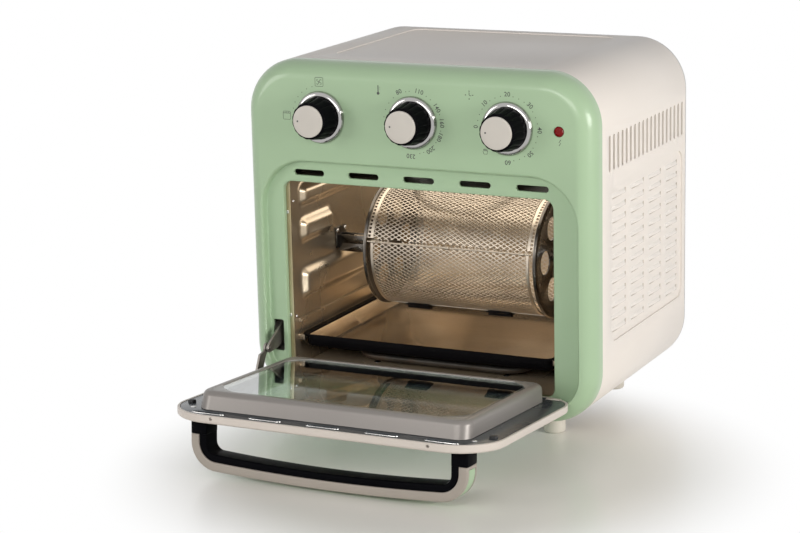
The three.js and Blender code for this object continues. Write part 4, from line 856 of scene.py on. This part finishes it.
flap = Form()
mesh_wires(flap, -76.5, 13.9, FLAP_LEFT + 2, FLAP_RIGHT - 2)
for left in (FLAP_LEFT, FLAP_RIGHT - 2.4):
    band(flap, -77.3, 13, left, left + 2.4, outer=56.8)
band(flap, -77.3, -74.9, FLAP_LEFT, FLAP_RIGHT, 1, 55.5, 56.9)
basket_piece("basket_door_mesh", flap, "basket_flap", smooth=30, stands_for=["basket_door"])
knuckles = Form()
for left in (FLAP_LEFT + 2, 4, FLAP_RIGHT - 8):
    knuckles.tube([around(left + x, PIN_ANGLE, PIN_PLACE) for x in (0, 2, 4)], 1.5, 16)
basket_piece("basket_door_knuckles", knuckles, "basket_flap", smooth=40)
rod = Form().tube([around(x, PIN_ANGLE, PIN_PLACE) for x in (DRUM_LEFT + 3, 7, DRUM_RIGHT - 3)], 0.75, 12)
basket_piece("basket_door_rod", rod, "basket", smooth=40, stands_for=["basket_door_pin"])
latches = Form()
for share in (0.24, 0.76):
    middle = FLAP_LEFT + (FLAP_RIGHT - FLAP_LEFT) * share - 8.5
    for low, high, inner, outer in LATCH_BANDS:
        band(latches, low, high, middle - LATCH_HALF, middle + LATCH_HALF, 2, inner, outer)
basket_piece("basket_door_latches", latches, "basket_flap", enamel, edge=0.35)


def basket_end(name, face, side, tip):
    """An end plate with six holes, and its pin."""

    def on_axle(u, v, x):
        return (x, AXLE_Y + u, AXLE_Z + v)

    profile = [(0, 0), (15, 0), (17, 0.6), (50.5, 0.6), (52.5, 0), (57.6, 0)]
    profile += [(57.6 + 0.8 * sin(a), 0.8 * (1 - cos(a))) for a in quarter(3, 1)]
    profile += [(58.4, 3.0), (57.2, 3.0), (57.2, 1.7), (52, 1.2)]
    profile += [(50.2, 1.8), (17.2, 1.8), (15.2, 1.2), (0, 1.2)]
    plate = Form().turned([(r, face - side * d) for r, d in profile], 96, on_axle)
    holes = Form()
    near, far = sorted((face + side * 3, face - side * 4))
    for a in angles(6):
        rim = circle(11, 28, (AXLE_Y + 33 * cos(a), AXLE_Z + 33 * sin(a)))
        holes.prism(rim, near, far, side_view)
    basket_piece(
        f"basket_end_{name}_plate", plate, "basket", dark_plate, cuts=[holes], edge=0.3, edge_angle=50,
        stands_for=[f"basket_end_{name}"],
    )
    root = face - side * 0.4
    shank = [(0, root), (6.2, root), (6.2, root + side * 2.0), (3.5, root + side * 2.6)]
    shank += [(3.5, tip - side * 0.8), (2.8, tip), (0, tip)]
    pin = Form().turned(shank, 28, on_axle)
    piece(f"basket_axle_{name}", pin, "basket", "pin_steel", bright_steel, edge=0.2)


basket_end("left", -79.7, -1, -118)
basket_end("right", 94.0, 1, 120)

# Drip tray: a pan with a rolled edge and side flanges, and its glossy tan lining

TRAY_TOP = 76.4
LIP_REACH = 4.5


def plan(inset, z, reach=0.0):
    """The tray's outline; its lip reaches further to both sides."""
    left, right = -126.5 + inset - reach, 121.5 - inset + reach
    return level(rounded(left, right, 22.4 + inset, 216.4 - inset, max(8 - inset, 1), 8), z)


tray_rings = ((3.0, 64.8), (1.4, 65.2), (0.4, 66.6), (0.0, 68.6), (0.0, 75.6), (0.2, 76.15), (0.6, TRAY_TOP))
tray_rings += ((1.0, 76.2), (1.3, 75.6), (1.5, 69), (2.4, 67), (4.2, 65.9), (14, 65.8))
lip_rings = ((0, 75.4, LIP_REACH), (0, 76.1, LIP_REACH), (0.3, TRAY_TOP, LIP_REACH))
lip_rings += ((0.8, TRAY_TOP), (0.8, 75.4))
lining_rings = ((14, 65.9), (4.2, 66.0), (2.35, 67.1), (1.44, 69), (1.3, 74.6), (1.2, 74.6), (14, 65.7))
tray = Form().skin([plan(*ring) for ring in tray_rings])
tray.skin([plan(*ring) for ring in lip_rings], loop=True)
piece("drip_tray_pan", tray, "tray", "tray_enamel", enamel, smooth=45, stands_for=["drip_tray"])
tray_lining = Form().skin([plan(*ring) for ring in lining_rings])
piece("drip_tray_lining", tray_lining, "tray", "tray_enamel", tray_coat, smooth=45)

# Bearing bracket on the left wall

BRACKET_FACE = -131.2
bracket = Form()
bracket.block((-132.7, BRACKET_FACE), (102, 122), (141, 161))
for low, high, top in ((-6.4, -3.9, 154), (3.9, 6.4, 154), (-6.4, 6.4, 145.9)):
    bracket.block((-131.3, -104), (AXLE_Y + low, AXLE_Y + high), (138, top))
piece(
    "bearing_bracket_pressing", bracket, "housing", "pin_steel", dark_plate, edge=0.35,
    stands_for=["bearing_bracket"],
)
bracket_screws = Form()
for y in (104.2, 119.8):
    dome(bracket_screws, (BRACKET_FACE, y, 158), (1, 0, 0), 2.0, 1.2)
piece("bearing_bracket_screws", bracket_screws, "housing", "pin_steel", bright_steel)

coat_nodes(zinc, "fan_shroud", "fan_motor", "rotisserie_motor", "thermostat", "timer", "base_plate")
coat_nodes(black, "function_switch", "cord_gland")
coat_nodes(bright_steel, "fan_impeller", "drive_socket", "hinge_pin_left", "hinge_pin_right")


# Door: outer frame, panes, liner and raised inner frame

SHEET_TOP = 3.2
FRAME_STEPS = 14
PRESSING_BACK = 3.4
BAND_SCREWS_X = (-102, 102)
BAND_SCREWS_V = 199.2
BAND_SCREWS_W = 0.6


def door_piece(name, form, slot, finish, **options):
    piece(name, form, "door", slot, finish, place=on_door, **options)


def door_ring(inset, w):
    hinge, free = 30.5 - inset, 43 - inset
    radii = (hinge, hinge, free, free)
    return level(rounded(-153.2 + inset, 153.2 - inset, -4.4 + inset, 200.4 - inset, radii, FRAME_STEPS), w)


def across_door(v, w, x):
    return (x, v, w)


def window_ring(half, low, high, radius, w):
    return level(rounded(-half, half, low, high, radius, FRAME_STEPS), w)


pan = [door_ring(0.5, PRESSING_BACK), door_ring(0, 2.9), door_ring(0, -1.5)]
pan += [door_ring(2.5 * (1 - cos(a)), -1.5 - 2.5 * sin(a)) for a in quarter(6, 1)]
pan += [window_ring(113.0, 21, 139, 13, -4.0), window_ring(112.2, 21.8, 138.2, 12.2, -3.6)]
pan += [window_ring(112, 22, 138, 12, -1.8), window_ring(118, 16, 144, 14, -1.8)]
pan += [door_ring(2.2, -1.8), door_ring(2.2, PRESSING_BACK)]
band_holes = Form()
for x in BAND_SCREWS_X:
    band_holes.prism(circle(1.5, 16, (x, BAND_SCREWS_W)), BAND_SCREWS_V, 203, lambda u, v, d: (u, d, v))
pressing = Form().skin(pan, loop=True)
door_piece("door_frame_pressing", pressing, "door_cream", door_cream, cuts=[band_holes], smooth=35)
bosses, bores = Form(), Form()
for left, right in ((-138, -125), (125, 138)):
    bosses.block((left, right), (-2.6, 4), (-2.9, PRESSING_BACK))
for left, right in ((-140, -124), (124, 140)):
    bores.prism(circle(2.1, 20), left, right, across_door)
door_piece(
    "door_bosses", bosses, "door_cream", door_cream, cuts=[bores], edge=0.4, stands_for=["door_outer_frame"]
)

pane = Form().prism(rounded(-124, 124, 10, 150, 12, 8), -1.5, 1.7, as_given)
door_piece("outer_pane", pane, "door_glass", outer_pane, edge=0.3, smooth=20, stands_for=["outer_glass"])
pane = Form().prism(rounded(-118.4, 118.4, 16.3, 167.7, 6, 8), 15.4, 18.3, as_given)
door_piece("inner_pane", pane, "door_glass", inner_pane, edge=0.35, smooth=20, stands_for=["inner_glass"])

liner = [door_ring(2.7, 2.0), door_ring(2.7, SHEET_TOP)]
liner += [window_ring(114, 18, 162, 11, SHEET_TOP), window_ring(114, 18, 162, 11, 2.0)]
liner_cuts = Form()
for x in VENTS:
    liner_cuts.prism(rounded(x - VENT_HALF, x + VENT_HALF, 186.5, 192.5, 3, 6), 0, 5, as_given)
for left, right, low, high in ((-156, -124.5, -8, 4.5), (124.5, 156, -8, 4.5), (-156, -148, 22, 38)):
    liner_cuts.prism([(left, low), (right, low), (right, high), (left, high)], 0, 5, as_given)
liner_form = Form().skin(liner, loop=True)
door_piece(
    "door_liner_sheet", liner_form, "liner_slate", slate, cuts=[liner_cuts], edge=0.25,
    stands_for=["door_liner"],
)
slot_lips = Form()
for x in VENTS:
    outline = rounded(x - 15.4, x + 15.4, 186.35, 192.65, 3.15, 6)
    slot_lips.tube(sorted(level([p for p in outline if p[1] > 189.5], SHEET_TOP)), 0.34, 8)
door_piece("door_slot_edges", slot_lips, "pin_steel", bright_steel)


def frame_ring(inset, w, draft=0.0):
    """The inner frame's outline; it widens towards its foot, most at the free edge."""
    half, low, high = 127.2 - inset + draft, 7.5 + inset, 176.5 - inset + 4 * draft
    return level(rounded(-half, half, low, high, max(13 - inset, 1), FRAME_STEPS), w)


inner = [frame_ring(0, 3.5, 1.0), frame_ring(0, 4.6, 0.93), frame_ring(0, 9, 0.6), frame_ring(0, 14, 0.3)]
for a in quarter(7, 1):
    inner.append(frame_ring(4.6 * (1 - cos(a)), 14.2 + 4.6 * sin(a), 0.3 - 0.3 * sin(a)))
inner += [frame_ring(7.6, 18.8), frame_ring(8.1, 18.65), frame_ring(8.4, 18.1), frame_ring(8.4, 15.2)]
inner += [frame_ring(12.4, 15.2), frame_ring(12.6, 14.0), frame_ring(1.9, 14.0), frame_ring(1.5, 3.5, 1.0)]
inner_form = Form().skin(inner, loop=True)
door_piece(
    "door_inner_frame_pressing", inner_form, "frame_grey", pewter, smooth=40, stands_for=["door_inner_frame"]
)
# A black sheet inside the inner frame, round the window between the panes: partly a dark part there, partly
# painted shade and painted dark reflection for the frame's inner walls
lining = [frame_ring(inset, w) for inset, w in ((2.4, 3.4), (2.4, 13.8), (2.9, 13.8), (2.9, 3.4))]
door_piece("door_inner_shade_lining", Form().skin(lining, loop=True), "frame_grey", dial_black, smooth=40)

clips, clip_screws = Form(), Form()
CLIP_CORNER_X = 119.6
CLIP_POINTS = ((0, 0), (20, 0), (18, 2.2), (8.5, 8.5), (2.2, 18), (0, 20))
for sx in (-1, 1):
    for v, sv in ((168.9, -1), (15.1, 1)):
        shape = [(sx * CLIP_CORNER_X - sx * a, v + sv * b) for a, b in CLIP_POINTS]
        if sx * sv > 0:
            shape.reverse()
        clips.prism(shape, 18.25, 18.8, as_given)
        dome(clip_screws, (sx * 114.2, v + sv * 5.4, 18.4), (0, 0, 1), 2.3, 0.4)
door_piece("glass_clips", clips, "frame_grey", clip_finish, edge=0.2)
door_piece("glass_clip_screws", clip_screws, "pin_steel", bright_steel)

RIM_SCREW_X = 141
RIM_SCREW_V = 21
# A fault left in: a head's two slots overlap in one cut, and it removes the two heads near the hinge
bumpers, door_screws, screw_slots = Form(), Form(), Form()
for sx in (-1, 1):
    profile = [(0, 3.0), (3.6, 3.0), (3.6, 4.6), (3.0, 5.6), (1.6, 6.0), (0, 6.0)]
    bumpers.turned(profile, 24, lambda u, v, d, sx=sx: (sx * 143.3 + u, 160.6 + v, d))
    dome(door_screws, (sx * RIM_SCREW_X, RIM_SCREW_V, SHEET_TOP), (0, 0, 1), 3.2, 1.3, 20)
    dome(door_screws, (sx * 133, 176, SHEET_TOP), (0, 0, 1), 2.4, 0.9, 20)
    for half_x, half_v in ((2.4, 0.4), (0.4, 2.4)):
        x = (sx * RIM_SCREW_X - half_x, sx * RIM_SCREW_X + half_x)
        screw_slots.block(x, (RIM_SCREW_V - half_v, RIM_SCREW_V + half_v), (3.9, 6))
door_piece("door_bumpers", bumpers, "handle_black", black)
door_piece("door_screws", door_screws, "pin_steel", bright_steel, cuts=[screw_slots])
band_screws = Form()
for x in BAND_SCREWS_X:
    dome(band_screws, (x, BAND_SCREWS_V, BAND_SCREWS_W), (0, 1, 0), 1.3, 0.5)
door_piece("door_edge_screws", band_screws, "pin_steel", lever_steel)


# Handle: grip, trim and inlay follow one path across the door

GRIP_LOW = 164
GRIP_HIGH = 184.5
GRIP_BACK = -17.8
BOW_STEPS = 24


def handle_path(inset, start, front=-49.8, side=130.7, corner=25, bow=3.2):
    """Points (x, w) of half a path from the right post to the middle, then its mirror."""
    half = [(side - inset, start)]
    r = corner - inset
    low = front + inset
    for a in quarter(FRAME_STEPS):
        half.append((side - inset - r + r * cos(a), low + r - r * sin(a)))
    width = side - inset - r
    for i in range(1, BOW_STEPS + 1):
        t = i / BOW_STEPS
        half.append((width * (1 - t), low - bow * (1 - (1 - t) ** 2)))
    return half + [(-x, w) for x, w in reversed(half[:-1])]


def bar_between(path_outer, path_inner, section):
    """A bar between two paths; the section gives (share from outer to inner, v)."""
    rings = []
    for (xo, wo), (xi, wi) in zip(path_outer, path_inner):
        rings.append([(xo + (xi - xo) * s, v, wo + (wi - wo) * s) for s, v in section])
    return Form().skin(rings)


def soft_section(low, high, depth, inner_r, outer_r, steps):
    """A rectangle with round corners as (share, v) over a bar of this depth."""
    outline = rounded(0, depth, low, high, (outer_r, inner_r, inner_r, outer_r), steps)
    return [(s / depth, v) for s, v in outline]


section = soft_section(GRIP_LOW, GRIP_HIGH, 8.2, 1.2, 1.6, 4)
trim = bar_between(handle_path(0, -18.1), handle_path(8.2, -18.1), section)
section = [(0, 168), (1, 168), (1, 180.5), (0, 180.5)]
groove = bar_between(handle_path(-2, -20.7), handle_path(1.8, -20.7), section)
door_piece(
    "handle_trim_moulding", trim, "handle_cream", cream_plastic, cuts=[groove], smooth=40,
    stands_for=["handle_trim"],
)
section = soft_section(168.3, 180.2, 1.5, 0.3, 0.6, 3)
inlay = bar_between(handle_path(0, -21), handle_path(1.5, -21), section)
door_piece("handle_inlay_strip", inlay, "handle_green", mint, smooth=40, stands_for=["handle_inlay"])
section = soft_section(GRIP_LOW, GRIP_HIGH, 7, 2.2, 0.8, 5)
inner_path = handle_path(0, GRIP_BACK, front=-34.7, side=115.5, corner=8, bow=3.8)
grip = bar_between(handle_path(8.5, GRIP_BACK), inner_path, section)
door_piece("handle_grip_moulding", grip, "handle_black", gloss_black, smooth=40, stands_for=["handle_grip"])
posts = Form()
for left, right in ((-130.7, -115.5), (115.5, 130.7)):
    posts.prism(rounded(left, right, GRIP_LOW, GRIP_HIGH, 1.6, 4), GRIP_BACK, -4.3, as_given)
door_piece("handle_posts", posts, "handle_black", gloss_black, edge=0.4)

# Hinge ear, lever, pin and spring on the left

coat_nodes(lever_steel, "hinge_ear", "lever_pin")
PIVOT_V = 15
PIVOT_W = 25
pivot_y = HINGE_Y + PIVOT_W * cos(DOOR_TURN) - PIVOT_V * sin(DOOR_TURN)
pivot_z = HINGE_Z + PIVOT_W * sin(DOOR_TURN) + PIVOT_V * cos(DOOR_TURN)
LEAN = radians(28)
LEVER_LENGTH = 52
LEVER_END = 4.5
LOWER_BOW = 7.5
UPPER_BOW = 0.5
BOW_POINTS = 16


def on_lever(a, b, x):
    """A point of the lever: a along it from its pivot, b up across it."""
    return (x, pivot_y + a * cos(LEAN) - b * sin(LEAN), pivot_z + a * sin(LEAN) + b * cos(LEAN))


def lever_outline(shrink):
    """Round ends joined by two bows."""
    r = LEVER_END - shrink
    half_turn = [pi / 2 + pi * i / 12 for i in range(13)]
    shares = [i / BOW_POINTS for i in range(1, BOW_POINTS)]
    outline = [(r * cos(a), r * sin(a)) for a in half_turn]
    outline += [(LEVER_LENGTH * t, -r - 4 * LOWER_BOW * t * (1 - t)) for t in shares]
    outline += [(LEVER_LENGTH + r * cos(a - pi), r * sin(a - pi)) for a in half_turn]
    outline += [(LEVER_LENGTH * t, r + 4 * UPPER_BOW * t * (1 - t)) for t in reversed(shares)]
    return outline


lever_rings = ((0.5, -147.6), (0, -147.1), (0, -145.7), (0.5, -145.2))
lever = Form().skin([[on_lever(a, b, x) for a, b in lever_outline(shrink)] for shrink, x in lever_rings])
lever_holes = Form()
for middle in (0, LEVER_LENGTH):
    lever_holes.prism(circle(2.3, 20, (middle, 0)), -150, -143, on_lever)
piece(
    "hinge_lever_plate", lever, "lever", "part_black", lever_steel, cuts=[lever_holes],
    stands_for=["hinge_lever"],
)
rivet = Form()
dome(rivet, on_lever(0, 0, -151.2), (-1, 0, 0), 3.0, 0.2, 20)
piece("hinge_rivet", rivet, "door", "pin_steel", lever_steel)

SPRING_X = -146.4
TURNS = 26
POINTS_PER_TURN = 14
start, end = Vector(on_lever(LEVER_LENGTH, 0, SPRING_X)), Vector((SPRING_X, 168, 56))
along = (end - start).normalized()
start, end = start + along * 6.9, end - along * 1.3
side_axis = along.cross(Vector((1, 0, 0))).normalized()
coil = []
for i in range(TURNS * POINTS_PER_TURN + 1):
    share = i / (TURNS * POINTS_PER_TURN)
    a = 2 * pi * i / POINTS_PER_TURN
    radius = 2.7 * min(1, 14 * share + 0.15, 14 * (1 - share) + 0.15)
    p = start + (end - start) * (0.02 + 0.96 * share)
    coil.append(tuple(p + Vector((radius * cos(a), 0, 0)) + side_axis * (radius * sin(a))))
coiled = Form().tube(coil, 0.62, 8)
spring = piece("hinge_coil_spring", coiled, "housing", "pin_steel", bright_steel, stands_for=["hinge_spring"])
tuple(at(*end))
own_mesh(spring)

# Dials: bright ring, fluted grip and cap with a pointer dot

FLUTES = 16
POINTS_PER_FLUTE = 10
GRIP_RINGS = ((18.7, 4.8, 0.0), (19.3, 5.1, 0.4), (19.5, 6.0, 0.9), (18.9, 9.5, 1.0), (17.6, 18.0, 1.0))
GRIP_RINGS += ((16.9, 22.4, 0.9), (16.5, 23.3, 0.5), (15.9, 23.85, 0.15), (15.3, 24.0, 0.0))


def dial(name, x):
    body = f"{name}_dial"

    def facing(u, v, d):
        return (x + u, -d, DIAL_Z + v)

    def fluted(r, d, flute):
        ring = []
        for i, a in enumerate(angles(FLUTES * POINTS_PER_FLUTE)):
            share = (i % POINTS_PER_FLUTE) / POINTS_PER_FLUTE
            reach = r - flute * (1 - sin(pi * share) ** 0.7)
            ring.append(facing(reach * cos(a), reach * sin(a), d))
        return ring

    ring = [(3.4, 0.3), (23.6, 0.3), (23.9, 0.7), (23.9, 1.5), (23.3, 2.2)]
    ring += [(19.9 + 3.4 * cos(a), 2.2 + 2.3 * sin(a)) for a in quarter(7, 1)]
    ring += [(18.4, 4.2), (3.4, 4.2)]
    ring_form = Form().turned(ring, 72, facing, loop=True)
    piece(f"{body}_ring", ring_form, body, "dial_chrome", chrome, smooth=50, stands_for=[f"{name}_knob_base"])
    grip = Form().skin([fluted(*ring) for ring in GRIP_RINGS])
    grip.turned([(0, -2.6), (3, -2.6), (3, 5.2), (0, 5.2)], 20, facing)
    piece(f"{body}_grip", grip, body, "dial_black", dial_black, smooth=32, stands_for=[f"{name}_knob_grip"])
    cap = [(0, 24.3), (14.5, 24.3), (14.5, 25.3)]
    cap += [(13.9 + 0.6 * cos(a), 25.3 + 0.6 * sin(a)) for a in quarter(3, 1)]
    cap_form = Form().turned(cap + [(9, 25.98), (0, 26.0)], 64, facing)
    piece(f"{body}_cap", cap_form, body, "dial_cream", dial_cream, stands_for=[f"{name}_knob_cap"])
    dot = [(0, 25.93), (0.85, 25.93), (0.85, 25.99), (0, 25.99)]
    pointer = Form().turned(dot, 16, lambda u, v, d: facing(u - 9.8, v, d))
    piece(f"{body}_pointer", pointer, body, None, print_ink)


dial("function", -DIAL_X)
dial("temperature", 0.0)
dial("timer", DIAL_X)

# Lamp lens with facets

FACET_TURN = 0.26
lamp_rings = []
lamp_profile = ((6.2, -3.9), (6.2, -2.9), (4.5, -2.9), (4.5, -0.1), (3.9, 0.75), (2.4, 1.35), (0.8, 1.5))
for k, (r, d) in enumerate(lamp_profile):
    turns = [a + k * FACET_TURN for a in angles(12)]
    lamp_rings.append([(LAMP_X + r * cos(a), -d, LAMP_Z + r * sin(a)) for a in turns])
lamp = Form().skin(lamp_rings)
piece("lamp_lens", lamp, "housing", "lamp_red", lens, smooth=5, stands_for=["indicator_lamp"])

# Printed marks round the dials

PRINT_Y = -0.07
PRINT_BACK = 0.02
NUMBER_SIZE = 5.6
marks = Form()


def stroke(points, width, closed=False):
    """A thin printed line."""
    points = [Vector(p) for p in points]
    rings = []
    for i, p in enumerate(points):
        before = points[i - 1] if i or closed else p
        after = points[(i + 1) % len(points)] if i + 1 < len(points) or closed else p
        along = (after - before).normalized()
        half = Vector((-along.y, along.x)) * width / 2
        corners = ((p + half, PRINT_Y), (p - half, PRINT_Y), (p - half, PRINT_BACK), (p + half, PRINT_BACK))
        rings.append([(q.x, y, q.y) for q, y in corners])
    marks.skin(rings, caps=not closed, loop=closed)


def spot(x, z, radius=0.42):
    marks.prism(circle(radius, 10, (x, z)), PRINT_Y, PRINT_BACK, front_view)


def number(text, dial_name, dial_x, x, z):
    """A number that stands on the dial's centre."""
    name = f"number_{dial_name}_{text}"
    curve = bpy.data.curves.new(f"number_{text}", "FONT")
    curve.body = text
    curve.size = NUMBER_SIZE * MM
    curve.align_x = "CENTER"
    curve.align_y = "CENTER"
    curve.extrude = 0.04 * MM
    curve.space_character = 1.05
    curve.offset = 0.05 * MM
    text_object = added(name, curve)
    bpy.context.view_layer.update()
    graph = bpy.context.evaluated_depsgraph_get()
    data = bpy.data.meshes.new_from_object(text_object.evaluated_get(graph))
    bpy.data.objects.remove(text_object)
    turn = Matrix.Rotation(atan2(z, x) - pi / 2, 4, "Z")
    stood_up = Matrix.Rotation(pi / 2, 4, "X")
    data.transform(Matrix.Translation(at(dial_x + x, -0.03, DIAL_Z + z)) @ stood_up @ turn)
    data.materials.clear()
    data.materials.append(print_ink)
    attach(added(name, data), "housing")


def polar(radius, angle):
    return radius * cos(radians(angle)), radius * sin(radians(angle))


def spots(dial_x, radius, turns):
    for angle in turns:
        x, z = polar(radius, angle)
        spot(dial_x + x, DIAL_Z + z)


for text, angle in (("0", 180), ("10", 136), ("20", 90), ("30", 45), ("40", 0), ("50", -45), ("60", -90)):
    number(text, "timer", DIAL_X, *polar(29.9, angle))
spots(DIAL_X, 28.6, [low - 11.2 * k for low in (180, 136, 90, 45, 0, -45) for k in (1, 2, 3)])
for text, x, z in (
    ("80", -12.6, 26.8), ("110", 7, 28), ("140", 24, 14.5), ("160", 28.6, 1.3), ("180", 26.4, -11.3),
    ("200", 17.2, -23.4), ("230", -2, -30),
):
    number(text, "temperature", 0.0, x, z)
spots(0.0, 28.0, (102, 95, 60, 50, 18, -12, -36, -44, -68, -76, 130, 144, 158, 172, 186, 200))
spots(-DIAL_X, 28.4, (106, 118, 130, 142, 154, 166))

# Pictograms: fan, oven, heat, clock, hand and bolt


def picture(x, z, *lines):
    """Lines about a point, each a width and its points."""
    for width, points in lines:
        stroke([(x + u, z + v) for u, v in points], width)


def box_mark(x, z, half):
    stroke([(x + u, z + v) for u, v in rounded(-half, half, -half, half, 0.8, 3)], 0.35, closed=True)


fan_x, fan_z = -DIAL_X - 0.6, DIAL_Z + 32.0
box_mark(fan_x, fan_z, 4.0)
for k in range(4):
    a = pi / 4 + k * pi / 2
    blade = ((0.6, 0), (1.6, 0.35), (2.6, 0.3), (3.1, 0.0), (2.5, -0.25))
    picture(fan_x, fan_z, (0.4, [(r * cos(a + bend), r * sin(a + bend)) for r, bend in blade]))
spot(fan_x, fan_z, 0.5)
oven_x, oven_z = -DIAL_X - 34.4, DIAL_Z
box_mark(oven_x, oven_z, 3.7)
picture(oven_x, oven_z, (0.4, [(-3.7, 2.0), (3.7, 2.0)]))
for u in (-1.8, 0, 1.8):
    spot(oven_x + u, oven_z + 2.9, 0.35)
heat_x, heat_z = -33.0, DIAL_Z + 27.6
picture(heat_x, heat_z, (0.9, [(0, -1.8), (0, 4.2)]))
spot(heat_x, heat_z - 2.9, 1.4)
picture(heat_x, heat_z, (0.3, [(1.1, 1), (2.1, 1)]), (0.3, [(1.1, 2.6), (2.1, 2.6)]))
clock_x, clock_z = DIAL_X - 36, DIAL_Z + 27.5
for angle in (0, 90, 180, 270):
    x, z = polar(4.0, angle)
    picture(clock_x, clock_z, (0.8, [(x, z), (x * 0.72, z * 0.72)]))
picture(clock_x, clock_z, (0.6, [(0, 2.4), (0, 0), (1.8, -0.7)]))
hand_x, hand_z = DIAL_X - 21.2, DIAL_Z - 21.2
picture(hand_x, hand_z, (0.4, [(-2.4, -0.2), (-1.4, -2.6), (1.6, -2.6), (2.0, 0.6)]))
for u in (-1.5, -0.5, 0.5, 1.5):
    picture(hand_x, hand_z, (0.55, [(u, 0.1), (u, 2.4 - 0.4 * abs(u))]))
picture(140.0, 277.2, (0.55, [(0.9, 2.6), (-0.9, 0.1), (0.9, -0.1), (-0.7, -2.6)]))
piece("dial_marks", marks, "housing", None, print_ink)

# Floor: pale paper that fades to white away from the object

FLOOR = 6
FADE_MIDDLE = (0.06, -0.10, 0)
FADE_START = 0.16
FADE_END = 0.31
floor_data = bpy.data.meshes.new("floor")
corners = [(-FLOOR, -FLOOR, 0), (FLOOR, -FLOOR, 0), (FLOOR, FLOOR, 0), (-FLOOR, FLOOR, 0)]
floor_data.from_pydata(corners, [], [(0, 1, 2, 3)])
added("floor", floor_data)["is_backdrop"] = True
paper = bpy.data.materials.new("studio_floor")
paper.use_nodes = True
tree = paper.node_tree
shader = tree.nodes["Principled BSDF"]
set_inputs(shader, {"Base Color": (0.88, 0.865, 0.82, 1), "Roughness": 0.24, "Specular IOR Level": 0.5})
place = tree.nodes.new("ShaderNodeTexCoord")
apart = tree.nodes.new("ShaderNodeVectorMath")
apart.operation = "DISTANCE"
apart.inputs[1].default_value = FADE_MIDDLE
tree.links.new(place.outputs["Object"], apart.inputs[0])
fade = spread(tree, apart.outputs["Value"], 0, 1, FADE_START, FADE_END)
white = tree.nodes.new("ShaderNodeEmission")
set_inputs(white, {"Color": (1, 1, 1, 1), "Strength": 1.0})
mix_surface(tree, combined(tree, "MULTIPLY", looked_at(tree), fade), shader.outputs[0], white.outputs[0])
floor_data.materials.append(paper)

# World: soft grey light, seen as plain white

LIGHT_STRENGTH = 0.23
world = bpy.data.worlds.new("studio")
bpy.context.scene.world = world
world.use_nodes = True
tree = world.node_tree
background = tree.nodes["Background"]
background.inputs["Color"].default_value = (1, 1, 1, 1)
bright = tree.nodes.new("ShaderNodeMix")
bright.inputs[2].default_value = LIGHT_STRENGTH
bright.inputs[3].default_value = 1.0
tree.links.new(looked_at(tree), bright.inputs[0])
tree.links.new(bright.outputs[0], background.inputs["Strength"])


# Lamps

def lamp_at(name, place, target, size, power, colour):
    data = bpy.data.lights.new(name, "AREA")
    data.shape = "RECTANGLE"
    data.size, data.size_y = size
    data.energy = power
    data.color = colour
    made = added(name, data)
    made.location = Vector(place)
    made.rotation_euler = (Vector(target) - Vector(place)).to_track_quat("-Z", "Y").to_euler()


lamp_at("left_softbox", (-1.5, -1.6, 0.6), (0, 0, 0.22), (0.7, 0.9), 10, (1.0, 0.985, 0.96))
lamp_at("right_softbox", (1.85, -0.35, 0.5), (0, 0, 0.15), (0.8, 0.6), 21, (1.0, 0.98, 0.95))
lamp_at("front_fill", (0.1, -1.15, 0.58), (0, 0, 0.34), (0.9, 0.3), 5.0, (1.0, 0.985, 0.96))
lamp_at("cavity_glow", at(-2.5, 140, 216), at(-2.5, 125, 60), (0.22, 0.17), 0.34, (1.0, 0.92, 0.80))

# Camera, fitted to the photo

LENS = 107.15
CAMERA_PLACE = Vector((894.7, -1898.5, 647.9))
YAW, PITCH, ROLL = (radians(a) for a in (25.913, 13.311, -1.264))
forward = Vector((-sin(YAW) * cos(PITCH), cos(YAW) * cos(PITCH), -sin(PITCH)))
right = Vector((cos(YAW), sin(YAW), 0))
above = right.cross(forward)
turned_right = right * cos(ROLL) + above * sin(ROLL)
turned_up = above * cos(ROLL) - right * sin(ROLL)
camera_data = bpy.data.cameras.new("camera")
camera_data.lens = LENS
camera_data.sensor_width = 36
camera_data.sensor_fit = "HORIZONTAL"
camera_data.clip_start = 0.05
camera = added("camera", camera_data)
basis = Matrix((turned_right, turned_up, -forward)).transposed()
camera.matrix_world = Matrix.Translation(CAMERA_PLACE * MM) @ basis.to_4x4()
bpy.context.scene.camera = camera

scene = bpy.context.scene
scene.view_settings.view_transform = "Standard"

low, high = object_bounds()
